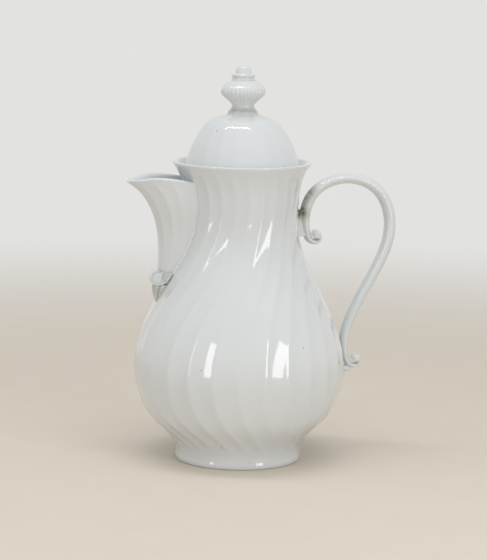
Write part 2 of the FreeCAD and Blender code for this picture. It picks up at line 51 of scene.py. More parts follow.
# Body: heights, radii over the ridges, and walls
FOOT_TOP = 9.0
FOOT_RADIUS = 39.9
FOOT_BORE = 33.5
FOOT_COVE = 3.0
FOOT_ROUND = 1.6
STANDING_RADIUS = 40.0
FOOT_ROWS = 40
BARE_BELOW = 0.15
UNDER_RADIUS = FOOT_RADIUS - 4.0
BELLY = 60.0
BELLY_RADIUS = 66.8
NECK = 150.0
NECK_RADIUS = 35.7
RIM = 190.0
RIM_EDGE = RIM - 1.6
WALL = 3.3
FLOOR_TOP = 13.5
FLOOR_CORNER = 3.5
FLOOR_ROUND = 2.5
INSIDE_LOW = FLOOR_TOP + 4.0
INSIDE_HIGH = NECK - 4.0
INSIDE_ROWS = 32
OUTSIDE_ROWS = 190

# Flutes of the body. They start above the foot and fade below the rim, each between two heights.
FLUTES = 26
FLUTE_DEPTH = 0.9
FLUTE_PHASE = -101.0
FLUTE_SOFTNESS = 0.2
FLUTE_POINTS = 14
FLUTES_START = (FOOT_TOP + 0.5, FOOT_TOP + 7.0)
FLUTES_FADE = (RIM - 11.0, RIM)

# Lid and knob
SEAT = 184.0
LID_RADIUS = 37.4
LID_EDGE_RISE = 0.4
LID_EDGE_IN = 0.6
GALLERY = 38.3
BORE = 32.4
COLLAR_RADIUS = 31.5
COLLAR_BORE = 28.3
COLLAR_BOTTOM = SEAT - 15.5
DOME_RISE = 34.6
DOME_TOP = SEAT + DOME_RISE
DOME_ROWS = 110
DOME_FLUTES = 20
DOME_FLUTE_DEPTH = 0.28
DOME_SOFTNESS = 0.6
MELON_BOTTOM = DOME_TOP + 7.4
MELON_RISE = 14.8
MELON_TOP = MELON_BOTTOM + MELON_RISE
MELON_RADIUS = 14.1
MELON_ROWS = 70
MELON_RIBS = 32
RIB_DEPTH = 0.55
RIB_SOFTNESS = 0.2
RIB_POINTS = 12
KNOB_TOP = MELON_TOP + 9.2

# Spout: its lip, its size, its wall and its flutes
LIP = 178.0
LIP_ARCH = 1.7
LIP_LIFT = 1.4
LIP_LIFT_RUN = 0.45
LIP_ROUND = 1.1
LIP_TURN = np.linspace(0.15, 0.85, 6)
LIP_PASSES = 12
SPOUT_REACH = 36.2
SPOUT_HALF_WIDTH = 18.2
SPOUT_FALL = 59.0
SPOUT_BOTTOM = LIP - SPOUT_FALL
SPOUT_ROOT = 0.75 * WALL
SPOUT_WALL = 2.6
SPOUT_COLUMNS = 217
SPOUT_ROWS = 90
SPOUT_FLUTE_DEPTH = 0.5
SPOUT_SOFTNESS = 0.16
SPOUT_LEAST_FLUTE = 0.2
SPOUT_FLUTES_START = (0.15, 0.6)
SPOUT_FLUTES_END = 1 / 12
# Its front leans out, most near the lip: how much deeper its wall is there when it is cut level
SPOUT_LEAN = 1.1
SPOUT_LEAN_MORE = 0.4
SPOUT_LEAN_RISES = (0.5, 0.8)
# Its fillet into the neck: radius of the ball, depth under the ridges, end in the wall, angles to try
SPOUT_FILLET = 4.0
FILLET_SINK = 0.3
FILLET_ROOT = 1.5
FILLET_STEPS = 12
FILLET_STARTS = np.linspace(-15, 60, 151)
# Its foot, where the outside tucks in: share of its rise, depth, pull on the fillet, rise of the closed end
TUCK_RISE = 0.05
TUCK_DEPTH = 2.6
TUCK_FILLET = 0.7
SPOUT_END_RISE = 0.5
# Its channel: lowest share of the rise, and how its wall thickens over the lowest share of its own length
CHANNEL_BOTTOM = 0.2
CHANNEL_CLOSING = 6.0
CHANNEL_BEND = 0.2
CHANNEL_ROWS = 40
# Strainer holes behind it: six round one
STRAINER_HOLE = 5.0
STRAINER_PITCH = 8.5
STRAINER_RING = 6
STRAINER_DEPTH = 0.6 * NECK_RADIUS
STRAINER_MIDDLE = (-0.85 * NECK_RADIUS, 0.0, LIP - 0.42 * SPOUT_FALL)
PIN_SIDES = 40

# Scroll under the spout, with its coil, its band and the clay behind and between them
SCROLL_RADIUS = 5.2
SCROLL_WIDTH = 14.0
SCROLL_HEIGHT = SPOUT_BOTTOM - 0.42 * SCROLL_RADIUS
SCROLL_GAP = 1.2
COIL_COLUMNS = 96
COIL_INSET = 0.4
BAND_ROWS = 120
BAND_SIDES = 20
BAND_SQUARENESS = 0.35
ROOT_INSET = 0.8
ROOT_SINK = 1.5
HOLLOW_INSET = 1.4
HOLLOW_EYE_HALF = 0.8
HOLLOW_TOP_HALF = 5.0
HOLLOW_TOP_BACK = 0.9
HOLLOW_TOP_RISE = 1.5

# Leaf drop under the scroll
LEAF_LENGTH = 10.2
LEAF_WIDTH = 14.5
LEAF_HEIGHT = 7.4
LEAF_ROOT = 0.5 * WALL
LEAF_LOBES = 5
LEAF_ROWS = 40
LOBE_POINTS = 16
LOBE_FULLNESS = 0.7
LOBE_GROOVE = 0.16

# Handle: its strap, its curled ends and what joins it to the body
HANDLE_THICKNESS = 7.8
HANDLE_WIDTH = 10.6
STRAP_LEAST_WIDTH = 0.35
STRAP_POINT = 1.2
STRAP_ROWS = 260
STRAP_SIDES = 32
STRAP_STEP = 0.05
UPPER_EYE = np.array((NECK_RADIUS + 13.1, 0.0, NECK - 6.8))
LOWER_EYE = np.array((BELLY_RADIUS + 9.4, 0.0, BELLY + 2.8))
LUG_HALF_WIDTH = 3.0
DROP_ROWS = 24
DROP_SIDES = 32

# Rings of the body: height, radius, turn of the swirl in degrees
BODY_RINGS = [
    (FOOT_TOP, FOOT_RADIUS, 22.5),
    (15.1, 44.0, 17.4),
    (26.9, 55.5, 8.2),
    (42.2, 63.9, 1.6),
    (BELLY, BELLY_RADIUS, 0.0),
    (82.5, 62.4, 2.0),
    (105.0, 52.3, 9.2),
    (127.5, 41.9, 21.9),
    (NECK, NECK_RADIUS, 33.0),
    (166.0, 36.4, 36.3),
    (178.0, 38.4, 34.4),
    (185.2, 41.6, 32.0),
    (RIM, 44.9, 30.0),
]
# Side of the foot ring above its rounding: height, radius
FOOT_SIDE = [(1.5, 40.20), (2.4, 40.20), (3.2, 40.08), (4.0, 39.90), (4.8, 39.80), (6.0, 39.74), (7.5, 39.80)]

# Rings of the dome and of the melon: share of the rise, share of the radius, share of the flute depth
DOME_RINGS = [
    (0.00, 1.000, 0.0),
    (0.12, 0.972, 0.5),
    (0.30, 0.918, 1.0),
    (0.48, 0.852, 1.0),
    (0.66, 0.760, 1.0),
    (0.82, 0.655, 0.8),
    (0.93, 0.530, 0.4),
    (1.00, 0.345, 0.0),
]
MELON_RINGS = [
    (0.00, 0.54, 0.0),
    (0.10, 0.63, 0.3),
    (0.24, 0.80, 0.7),
    (0.38, 0.95, 1.0),
    (0.52, 1.00, 1.0),
    (0.65, 0.97, 0.7),
    (0.79, 0.85, 0.15),
    (0.91, 0.69, 0.0),
    (1.00, 0.54, 0.0),
]

# Corners of turned outlines: radius, height, rounding. The rim's count from its outer edge and its top.
LEDGE_CORNERS = [(BORE, SEAT, 0.8), (GALLERY, SEAT, 0.6)]
RIM_CORNERS = [(-3.2, -1.2, 1.5), (-2.4, 0.0, 1.6), (0.3, 0.0, 2.0)]
HOLLOW_CORNERS = [
    (0.0, DOME_TOP - 3.7, 0),
    (0.62 * COLLAR_BORE, DOME_TOP - 7.5, 12.0),
    (COLLAR_BORE, SEAT + 7.6, 14.0),
    (COLLAR_BORE, SEAT, 0.5),
    (LID_RADIUS, SEAT, 0),
]
COLLAR_CORNERS = [
    (COLLAR_BORE, SEAT, 0),
    (COLLAR_BORE, COLLAR_BOTTOM, 1.0),
    (COLLAR_RADIUS, COLLAR_BOTTOM, 1.8),
    (COLLAR_RADIUS, SEAT, 0),
    (COLLAR_BORE, SEAT, 0),
]
KNOB_FOOT_CORNERS = [
    (0.0, DOME_TOP, 0),
    (12.9, DOME_TOP, 0),
    (10.0, DOME_TOP + 0.9, 2.6),
    (9.5, DOME_TOP + 2.1, 0.7),
    (9.4, DOME_TOP + 2.7, 0.4),
    (7.5, DOME_TOP + 4.4, 2.0),
    (7.0, DOME_TOP + 6.4, 0.8),
    (7.4, MELON_BOTTOM, 0),
    (0.0, MELON_BOTTOM, 0),
]
CROWN_CORNERS = [
    (0.0, MELON_TOP, 0),
    (7.7, MELON_TOP, 0.4),
    (7.1, MELON_TOP + 1.0, 1.0),
    (7.0, MELON_TOP + 2.0, 0.8),
    (7.8, MELON_TOP + 3.1, 0.5),
    (7.4, MELON_TOP + 3.6, 0.5),
    (5.4, MELON_TOP + 4.0, 0.9),
    (5.1, MELON_TOP + 5.2, 0.8),
    (4.3, KNOB_TOP - 1.4, 2.4),
    (2.6, KNOB_TOP, 2.2),
    (0.0, KNOB_TOP, 0),
]

# Levels of the spout: share of the fall from the bottom, share of the reach, share of the half width
SPOUT_LEVELS = [
    (0.00, 0.205, 0.50),
    (0.26, 0.374, 0.70),
    (0.49, 0.500, 0.80),
    (0.77, 0.660, 0.98),
    (0.88, 0.775, 1.00),
    (1.00, 1.000, 1.00),
    (1.07, 1.150, 1.00),
]
# Ridges of the spout: angles of its plan from side to side
SPOUT_RIDGES = np.array((0.0, 17.0, 36.0, 59.0, 90.0, 121.0, 144.0, 163.0, 180.0))

# Outline of the scroll's coil: angle round its eye from the front upwards, distance from the eye
SCROLL_COIL = [(244, 4.1), (270, 4.2), (315, 4.7), (360, 4.9), (405, 4.8), (450, 4.3), (500, 3.3), (540, 2.4),
               (570, 2.7), (604, 4.1)]
# End of the coil: share of the radius, depth under its middle
COIL_END = [(0.0, 0.0), (0.5, 0.1), (0.75, 0.4), (0.9, 0.8), (1.0, 1.2)]
# Band from the spout round under the coil and over it: angle, distance of its middle from the eye
SCROLL_BAND = [(150, 8.0), (165, 6.6), (180, 5.6), (205, 4.8), (230, 4.4), (255, 4.3), (285, 4.5), (320, 4.8),
               (360, 5.0), (400, 4.9), (440, 4.5), (475, 3.9), (500, 3.3)]
# Stretch of the band in front of the body's wall
ROOT_BAND = SCROLL_BAND[:6]
# Half the band's width, and half its thickness, by angle
BAND_WIDTHS = [(150, 9.9), (185, 9.4), (215, 7.8), (260, 0.41 * SCROLL_WIDTH)]
BAND_THICKNESSES = [(150, 0.85), (215, 0.8), (300, 0.55), (500, 0.45)]

# Levels of the leaf drop from its point up: shares of its length, its width and its height off the body
LEAF_LEVELS = [
    (-0.10, 0.10, -0.10),
    (0.30, 0.46, 0.40),
    (0.70, 0.84, 0.80),
    (1.00, 1.00, 1.00),
    (1.10, 0.97, 0.97),
]

# Middle line of the handle: place from the upper or the lower eye, share of the strap's thickness
UPPER_PATH = [
    (-7.7, 12.1, 0.94),
    (-3.3, 24.9, 0.92),
    (18.9, 35.5, 0.84),
    (40.0, 27.4, 0.95),
    (48.0, 5.3, 1.00),
    (40.5, -20.5, 0.95),
]
LOWER_PATH = [
    (-0.7, 34.2, 0.88),
    (-7.4, 15.6, 0.86),
]
# Curl of a handle's end: angle round the eye, share of the way to its last radius, pull towards the eye
CURL_TURN = [(180, 0.00, 1.0), (215, 0.33, 1.0), (250, 0.67, 1.0), (285, 1.00, 1.0), (315, 1.00, 0.7),
             (345, 1.00, 0.3)]
# The two curls: first and last radius, first and last share of the strap's thickness
UPPER_CURL = (6.2, 4.6, 0.66, 0.38)
LOWER_CURL = (6.7, 4.2, 0.62, 0.32)
# Rolls in the eyes of the curls: radius, half width, rounding
UPPER_ROLL = (2.7, 0.4 * HANDLE_WIDTH, 1.2)
LOWER_ROLL = (2.31, 0.4 * HANDLE_WIDTH, 1.1)
# Outline of the lug between the neck and the upper curl: place out from the axis, height
LUG_OUTLINE = [
    (NECK_RADIUS - 2.0, NECK - 8.5),
    (UPPER_EYE[0] - 7.0, NECK - 7.5),
    (UPPER_EYE[0] - 8.4, NECK + 9.5),
    (NECK_RADIUS - 2.0, NECK + 9.0),
]
# Drops under the lower curl: height below its eye, middle out from the belly, half sizes
DROPS = [(6.6, 3.0, (3.9, 2.8, 2.3)), (11.4, 1.6, (2.1, 1.9, 1.8))]

# Darkening, by staining and by painted shade: how steeply it fades, then where it lies, how far it reaches
# and how strong it is
DARKENING_FADE = 1.5
# Crevice between the neck and the strap and lug above the upper curl, darkened: painted shade with some
# staining
CREVICE = [(37.0, 158.0)]
CREVICE_SHADE_AND_STAIN = (9.0, 1.5)
# Side of the strap that faces the neck, darkened: painted shade of that side, with an olive tint of staining
STRAP_SPOTS = [(37.5, 163.0), (39.5, 167.5), (42.0, 171.0)]
STRAP_SHADE_AND_STAIN = (7.0, 1.25)
STRAP_PLACES = (-4, 0, 4)
LUG_PLACES = (-3, 0, 3)
SCROLL_PLACES = (-6, -3, 0, 3, 6)
# Darkening of the scroll: painted shade in the groove between coil and band, and painted shade with some
# staining under the band
SCROLL_SHADES_AND_STAINS = [((175, 3.6), (2.0, 0.3)), ((255, 6.2), (2.4, 0.6))]
FLARE_SPOTS = 64
FLARE_RADIUS = 8.4
FLARE_HEIGHT = DOME_TOP + 3.6
FLARE_STAIN = (4.5, 0.5)
# Darkening of the leaf: all over, staining with painted shade from the scroll above; more in its grooves, and
# more above a share of its length and less below it, as painted shade
LEAF_SHADE_AND_STAIN = 0.24
LEAF_GROOVE_SHADE = 0.3
LEAF_UPPER_SHADE = 0.2
LEAF_SHADE_MIDDLE = 0.6


# Curves


def spline(x, y):
    """A smooth curve through points: gives y at any x. y may have several columns."""
    x = np.asarray(x, float)
    y = np.asarray(y, float)
    gaps = np.diff(x)
    steps = np.diff(y, axis=0)
    slopes = (steps.T / gaps).T
    system = np.eye(len(x))
    target = np.zeros_like(y)
    for i in range(1, len(x) - 1):
        system[i, i - 1:i + 2] = (gaps[i - 1], 2 * (gaps[i - 1] + gaps[i]), gaps[i])
        target[i] = 6 * (slopes[i] - slopes[i - 1])
    bends = np.linalg.solve(system, target)

    def at(place):
        place = np.asarray(place, float)
        i = np.clip(np.searchsorted(x, place) - 1, 0, len(x) - 2)
        left = place - x[i]
        right = x[i + 1] - place
        gap = gaps[i]
        if y.ndim > 1:
            left, right, gap = left[..., None], right[..., None], gap[..., None]
        straight = (y[i] * right + y[i + 1] * left) / gap
        bow = bends[i] * (right ** 3 / gap - right * gap) + bends[i + 1] * (left ** 3 / gap - left * gap)
        return straight + bow / 6

    return at


ring_heights, ring_radii, ring_turns = np.array(BODY_RINGS).T
body_radius = spline(ring_heights, ring_radii)
body_turn = spline(ring_heights, ring_turns)
BODY_SLOPE_AT_FOOT = float(body_radius(FOOT_TOP + 1) - body_radius(FOOT_TOP))


def side_radius(height):
    """Radius of the outside over the ridges: the body's curve, eased into the upright foot by a cove."""
    height = np.asarray(height, float)
    below = np.minimum(height - FOOT_TOP, 0)
    curve = body_radius(np.maximum(height, FOOT_TOP)) + below * BODY_SLOPE_AT_FOOT
    ease = np.maximum(FOOT_COVE - np.abs(curve - FOOT_RADIUS), 0)
    eased = np.maximum(curve, FOOT_RADIUS) + ease ** 2 / (4 * FOOT_COVE)
    return np.where(height < BELLY, eased, curve)


def step_up(start, end, place):
    """Rises softly from 0 at the start to 1 at the end."""
    share = np.clip((np.asarray(place, float) - start) / (end - start), 0, 1)
    return share * share * (3 - 2 * share)


def flutes_start(height):
    """Share of the flute depth above the foot, where the flutes die out."""
    return step_up(*FLUTES_START, height)


def outside_radius(height):
    """Radius of the outside over the ridges, which sink to the bottoms of the flutes where those die out."""
    sunk = FLUTE_DEPTH * side_radius(height) / BELLY_RADIUS
    return side_radius(height) - sunk * (1 - flutes_start(height))


def signed_power(wave, power):
    """A wave made squarer by a power under 1, or more pointed by one over 1."""
    return np.sign(wave) * np.abs(wave) ** power


# Meshes


def place_object(name, data):
    """A new object in the scene."""
    thing = bpy.data.objects.new(name, data)
    bpy.context.scene.collection.objects.link(thing)
    return thing


def new_piece(name, points, faces, floats=None):
    """A mesh object from points in millimetres, with any named numbers on its points."""
    mesh = bpy.data.meshes.new(name)
    mesh.from_pydata((np.asarray(points) * MM).tolist(), [], faces)
    for title, numbers in (floats or {}).items():
        layer = mesh.attributes.new(title, "FLOAT", "POINT")
        layer.data.foreach_set("value", np.asarray(numbers, np.float32))
    return place_object(name, mesh)


def shade(mesh):
    """Shades a mesh smooth, with crisp edges where its faces turn sharply."""
    mesh.shade_smooth()
    mesh.set_sharp_from_angle(angle=CRISP_ANGLE)


def tidy_mesh(piece):
    """Merges doubles, turns the faces outwards and shades them."""
    work = bmesh.new()
    work.from_mesh(piece.data)
    bmesh.ops.remove_doubles(work, verts=work.verts, dist=MERGE_DISTANCE * MM)
    bmesh.ops.recalc_face_normals(work, faces=work.faces)
    work.to_mesh(piece.data)
    work.free()
    shade(piece.data)
    return piece


def grid_faces(rows, columns, ring):
    """Four-sided faces between rows of points. A ring joins its last column to its first."""
    faces = []
    for row in range(rows - 1):
        for column in range(columns if ring else columns - 1):
            following = (column + 1) % columns
            low, high = row * columns, (row + 1) * columns
            faces.append((low + column, low + following, high + following, high + column))
    return faces


def capped_tube(name, rows, floats=None):
    """A closed tube through rings of points, with a cap on each end."""
    sides = len(rows[0])
    last = sides * (len(rows) - 1)
    faces = grid_faces(len(rows), sides, True) + [tuple(range(sides)), tuple(range(last, last + sides))]
    return tidy_mesh(new_piece(name, np.concatenate(rows), faces, floats))


def lathe(name, profile, segments, depths=None, turns=0.0):
    """A turned piece from (radius, height) points. For flutes, each ring carries their depth and turn."""
    profile = np.asarray(profile, float)
    angles = np.linspace(0, 2 * math.pi, segments, endpoint=False)
    circle = np.stack([np.cos(angles), np.sin(angles)], 1)
    rings = []
    for radius, height in profile:
        rings.append(np.column_stack([circle * radius, np.full(segments, height)]))
    floats = {}
    if depths is not None:
        turns = np.radians(np.broadcast_to(turns, len(profile)))
        floats = {"turn": np.repeat(turns, segments), "flute_depth": np.repeat(depths, segments) * MM}
    piece = new_piece(name, np.concatenate(rings), grid_faces(len(profile), segments, True), floats)
    return tidy_mesh(piece)


def rounded(corners, steps=6):
    """An outline of (radius, height, rounding) corners as points, with each corner turned into a curve."""
    points = []
    for index, (radius, height, rounding) in enumerate(corners):
        here = np.array((radius, height))
        if not rounding or index in (0, len(corners) - 1):
            points.append(here)
            continue
        before = np.array(corners[index - 1][:2]) - here
        after = np.array(corners[index + 1][:2]) - here
        start = here + before / np.linalg.norm(before) * min(rounding, 0.5 * np.linalg.norm(before))
        end = here + after / np.linalg.norm(after) * min(rounding, 0.5 * np.linalg.norm(after))
        for part in np.linspace(0, 1, steps + 1):
            points.append((1 - part) ** 2 * start + 2 * part * (1 - part) * here + part ** 2 * end)
    return np.array(points)


def bake(piece):
    """Replaces a piece's mesh by what its modifiers make of it."""
    depsgraph = bpy.context.evaluated_depsgraph_get()
    made = bpy.data.meshes.new_from_object(piece.evaluated_get(depsgraph))
    piece.modifiers.clear()
    old = piece.data
    piece.data = made
    bpy.data.meshes.remove(old)
    made.name = piece.name
    shade(made)
    return piece


def feed(tree, node, inputs):
    """Sets a node's inputs, each to a value or by a link from a socket."""
    for socket, source in inputs.items():
        if isinstance(source, bpy.types.NodeSocket):
            tree.links.new(source, node.inputs[socket])
        else:
            node.inputs[socket].default_value = source


def add(tree, kind, inputs=None, **settings):
    """Adds a node with its settings and inputs, and gives its outputs."""
    node = tree.nodes.new(kind)
    for name, setting in settings.items():
        setattr(node, name, setting)
    feed(tree, node, inputs or {})
    return node.outputs


def compute(tree, operation, *numbers):
    """Adds a node that works out one number from numbers and sockets, and gives that number."""
    return add(tree, "ShaderNodeMath", dict(enumerate(numbers)), operation=operation)[0]


def new_tree(title, inputs, result):
    """An empty geometry tree with named inputs, given as (name, kind of socket), and one geometry output."""
    tree = bpy.data.node_groups.new(title, "GeometryNodeTree")
    for name, kind in inputs:
        tree.interface.new_socket(name, in_out="INPUT", socket_type="NodeSocket" + kind)
    tree.interface.new_socket(result, in_out="OUTPUT", socket_type="NodeSocketGeometry")
    return tree, add(tree, "NodeGroupInput")


def run_tree(piece, tree, values):
    """Runs a geometry tree on a piece, with values for its named inputs, and keeps the result as its mesh."""
    modifier = piece.modifiers.new(tree.name, "NODES")
    modifier.node_group = tree
    for item in tree.interface.items_tree:
        if item.in_out == "INPUT" and item.name in values:
            modifier[item.identifier] = values[item.name]
    return bake(piece)


# Flutes, ribs and strainer holes


def flute_tree():
    """Presses flutes or ribs into a turned piece, by the turn and the depth that its points carry."""
    tree, given = new_tree("Pressed flutes", [
        ("Turned piece", "Geometry"), ("Flute count", "Int"), ("Ridge softness", "Float"), ("Ribs", "Bool"),
        ("Glaze", "Material")], "Fluted piece")
    softness = given["Ridge softness"]
    turn = add(tree, "GeometryNodeInputNamedAttribute", {"Name": "turn"}, data_type="FLOAT")[0]
    depth = add(tree, "GeometryNodeInputNamedAttribute", {"Name": "flute_depth"}, data_type="FLOAT")[0]
    place = add(tree, "GeometryNodeInputPosition")[0]
    part = add(tree, "ShaderNodeSeparateXYZ", {0: place})
    # Share of the way across the flute, from ridge to ridge
    angle = compute(tree, "ARCTAN2", part["Y"], part["X"])
    angle = compute(tree, "SUBTRACT", angle, turn)
    pitch = compute(tree, "DIVIDE", 2 * math.pi, given["Flute count"])
    across = compute(tree, "DIVIDE", angle, pitch)
    across = compute(tree, "FRACT", across)
    # A parabola across the flute, with its ridges eased by the softness
    off_middle = compute(tree, "MULTIPLY_ADD", across, 2.0, -1.0)
    square = compute(tree, "MULTIPLY", off_middle, off_middle)
    hollow = compute(tree, "SUBTRACT", 1.0, square)
    ease = compute(tree, "MULTIPLY", softness, softness)
    eased = compute(tree, "MULTIPLY_ADD", hollow, hollow, ease)
    eased = compute(tree, "SQRT", eased)
    eased = compute(tree, "SUBTRACT", eased, softness)
    deepest = compute(tree, "ADD", ease, 1.0)
    deepest = compute(tree, "SQRT", deepest)
    deepest = compute(tree, "SUBTRACT", deepest, softness)
    flute = compute(tree, "DIVIDE", eased, deepest)
    rib = compute(tree, "SUBTRACT", 1.0, flute)
    press = add(tree, "GeometryNodeSwitch", {"Switch": given["Ribs"], "False": flute, "True": rib},
                input_type="FLOAT")[0]
    press = compute(tree, "MULTIPLY", press, depth)
    inward = compute(tree, "MULTIPLY", press, -1.0)
    outwards = add(tree, "ShaderNodeCombineXYZ", {"X": part["X"], "Y": part["Y"]})[0]
    outwards = add(tree, "ShaderNodeVectorMath", {0: outwards}, operation="NORMALIZE")[0]
    shift = add(tree, "ShaderNodeVectorMath", {0: outwards, "Scale": inward}, operation="SCALE")[0]
    pressed = add(tree, "GeometryNodeSetPosition", {"Geometry": given["Turned piece"], "Offset": shift})[0]
    whole = add(tree, "GeometryNodeRealizeInstances", {"Geometry": pressed})[0]
    glazed = add(tree, "GeometryNodeSetMaterial", {"Geometry": whole, "Material": given["Glaze"]})[0]
    add(tree, "NodeGroupOutput", {"Fluted piece": glazed})
    return tree


def strainer_tree():
    """Pierces a wall that faces -X with a ring of holes round one."""
    tree, given = new_tree("Strainer holes", [
        ("Wall", "Geometry"), ("Hole radius", "Float"), ("Pitch", "Float"), ("Hole length", "Float"),
        ("Middle", "Vector"), ("Glaze", "Material")], "Pierced wall")
    ring = add(tree, "GeometryNodeMeshCircle", {"Vertices": STRAINER_RING, "Radius": given["Pitch"]})[0]
    one = add(tree, "GeometryNodeMeshLine", {"Count": 1})[0]
    group = add(tree, "GeometryNodeJoinGeometry")
    tree.links.new(ring, group[0].node.inputs[0])
    tree.links.new(one, group[0].node.inputs[0])
    places = add(tree, "GeometryNodeTransform", {
        "Geometry": group[0], "Rotation": (math.pi / 2, 0, math.pi / 2), "Translation": given["Middle"]})[0]
    pin = add(tree, "GeometryNodeMeshCylinder", {
        "Vertices": PIN_SIDES, "Radius": given["Hole radius"], "Depth": given["Hole length"]})["Mesh"]
    pins = add(tree, "GeometryNodeInstanceOnPoints", {
        "Points": places, "Instance": pin, "Rotation": (0, math.pi / 2, 0)})[0]
    pins = add(tree, "GeometryNodeRealizeInstances", {"Geometry": pins})[0]
    pierced = add(tree, "GeometryNodeMeshBoolean", {"Mesh 1": given["Wall"], "Mesh 2": pins},
                  operation="DIFFERENCE", solver="EXACT")["Mesh"]
    whole = add(tree, "GeometryNodeRealizeInstances", {"Geometry": pierced})[0]
    glazed = add(tree, "GeometryNodeSetMaterial", {"Geometry": whole, "Material": given["Glaze"]})[0]
    add(tree, "NodeGroupOutput", {"Pierced wall": glazed})
    return tree


# Materials


def colour(code):
    """Linear colour of an sRGB hex code."""
    parts = [int(code[i:i + 2], 16) / 255 for i in (1, 3, 5)]
    return [c / 12.92 if c <= 0.04045 else ((c + 0.055) / 1.055) ** 2.4 for c in parts] + [1.0]


def new_material(name):
    """A new material, with its tree, its shader and the places that its textures go by."""
    material = bpy.data.materials.new(name)
    material.use_nodes = True
    tree = material.node_tree
    place = add(tree, "ShaderNodeTexCoord")["Object"]
    return material, tree, tree.nodes["Principled BSDF"], place


def per_metre(millimetres):
    """Texture scale at which one cell is so many millimetres."""
    return 1 / (millimetres * MM)


def noise(tree, place, cell, detail):
    """Adds noise with cells of so many millimetres, and gives its strength."""
    return add(tree, "ShaderNodeTexNoise", {"Vector": place, "Scale": per_metre(cell), "Detail": detail})[0]


def mix(tree, factor, first, second):
    """Adds a mix of two colours, and gives the mixed one."""
    inputs = {"Factor": factor, "A": first, "B": second}
    return add(tree, "ShaderNodeMix", inputs, data_type="RGBA")["Result"]


def glazed_porcelain():
    """White hard-paste porcelain under a clear glaze: a cool white body, mirror gloss, faint ripples of the
    glaze, a few iron specks, and olive-brown darkening where the stain_and_shade layer of a piece says so:
    real staining on the knob's flare, and painted shade with some staining in the crevice at the handle, on
    the strap's side that faces the neck, and in and under the scroll and on the leaf."""
    material, tree, shader, place = new_material("glazed porcelain")
    # The white of the body, in soft clouds
    cloud = noise(tree, place, cell=45, detail=3.0)
    white = mix(tree, cloud, colour("#DEE2E4"), colour("#D6DADC"))
    # Iron specks up to about a millimetre wide, in three of ten cells
    cells = add(tree, "ShaderNodeTexVoronoi", {"Vector": place, "Scale": per_metre(15)})
    speck = add(tree, "ShaderNodeMapRange", {"Value": cells["Distance"], "From Min": 0.02, "From Max": 0.04,
                                             "To Min": 0.8, "To Max": 0.0})[0]
    chance = add(tree, "ShaderNodeSeparateColor", {0: cells["Color"]})["Red"]
    chance = compute(tree, "GREATER_THAN", chance, 0.7)
    speck = compute(tree, "MULTIPLY", speck, chance)
    specked = mix(tree, speck, white, colour("#7F7C74"))
    # Staining and painted shade in fine blotches, olive where it is thin and brown where it is heavy
    stain_and_shade = add(tree, "ShaderNodeAttribute", attribute_name="stain_and_shade")["Fac"]
    blotch = noise(tree, place, cell=3, detail=4.0)
    blotch = add(tree, "ShaderNodeMapRange", {"Value": blotch, "From Min": 0.25, "From Max": 0.55,
                                              "To Min": 0.35})[0]
    stain_and_shade = compute(tree, "MULTIPLY", stain_and_shade, blotch)
    heavy = add(tree, "ShaderNodeMapRange", {"Value": stain_and_shade, "From Min": 0.4, "From Max": 0.9})[0]
    soil_and_shade = mix(tree, heavy, colour("#8C8350"), colour("#4F4434"))
    darkened = mix(tree, stain_and_shade, specked, soil_and_shade)
    # Ripples of the glaze, which show in what it mirrors
    ripple = noise(tree, place, cell=9, detail=1.0)
    skin = add(tree, "ShaderNodeBump", {"Height": ripple, "Strength": 0.15, "Distance": 0.05 * MM})[0]
    feed(tree, shader, {
        "Base Color": darkened, "Normal": skin, "Roughness": 0.1, "IOR": 1.5, "Coat Weight": 1.0,
        "Coat Roughness": 0.015, "Coat IOR": 1.5})
    return material


def bare_porcelain():
    """Unglazed porcelain of the standing face: matt, fine-grained and a little grey from use. The grain is
    drawn coarser than the real one, so that it shows."""
    material, tree, shader, place = new_material("unglazed porcelain")
    grain = noise(tree, place, cell=1.2, detail=4.0)
    tone = mix(tree, grain, colour("#D8D3C8"), colour("#C3BCAF"))
    tooth = add(tree, "ShaderNodeBump", {"Height": grain, "Strength": 0.3, "Distance": 0.05 * MM})[0]
    feed(tree, shader, {"Base Color": tone, "Normal": tooth, "Roughness": 0.75})
    return material


def table_matt():
    """Plain pale table: warm off-white near the pot, fading out to the backdrop."""
    material, tree, shader, place = new_material("matt table")
    tooth = noise(tree, place, cell=30, detail=3.0)
    tone = mix(tree, tooth, colour("#E2D9CC"), colour("#DED4C6"))
    away = add(tree, "ShaderNodeVectorMath", {0: place}, operation="LENGTH")["Value"]
    fade = add(tree, "ShaderNodeMapRange", {"Value": away, "From Min": 0.35, "From Max": 1.1},
               interpolation_type="SMOOTHSTEP")[0]
    clear = add(tree, "ShaderNodeBsdfTransparent")[0]
    table = add(tree, "ShaderNodeMixShader", {0: fade, 1: shader.outputs[0], 2: clear})[0]
    feed(tree, shader, {"Base Color": tone, "Roughness": 0.7})
    feed(tree, tree.nodes["Material Output"], {"Surface": table})
    return material


glaze = glazed_porcelain()
bare = bare_porcelain()
flutes = flute_tree()
strainer = strainer_tree()


def spread(spots, places):
    """Spots of the pot's middle plane, given by x and z, repeated at places across it."""
    return [(x, y, z) for x, z in spots for y in places]


def darken_near(piece, spots, reach, strength):
    """Marks the points of a piece near any of the spots as darkened, for staining and for painted shade."""
    mesh = piece.data
    points = np.empty(len(mesh.vertices) * 3)
    mesh.vertices.foreach_get("co", points)
    points = points.reshape(-1, 3) / MM
    nearest = np.full(len(points), np.inf)
    for spot in spots:
        nearest = np.minimum(nearest, np.linalg.norm(points - np.asarray(spot), axis=1))
    amount = np.minimum(strength * np.clip(1 - nearest / reach, 0, 1) ** DARKENING_FADE, 1)
    layer = mesh.attributes.get("stain_and_shade") or mesh.attributes.new("stain_and_shade", "FLOAT", "POINT")
    before = np.zeros(len(points), np.float32)
    layer.data.foreach_get("value", before)
    layer.data.foreach_set("value", np.maximum(before, amount).astype(np.float32))


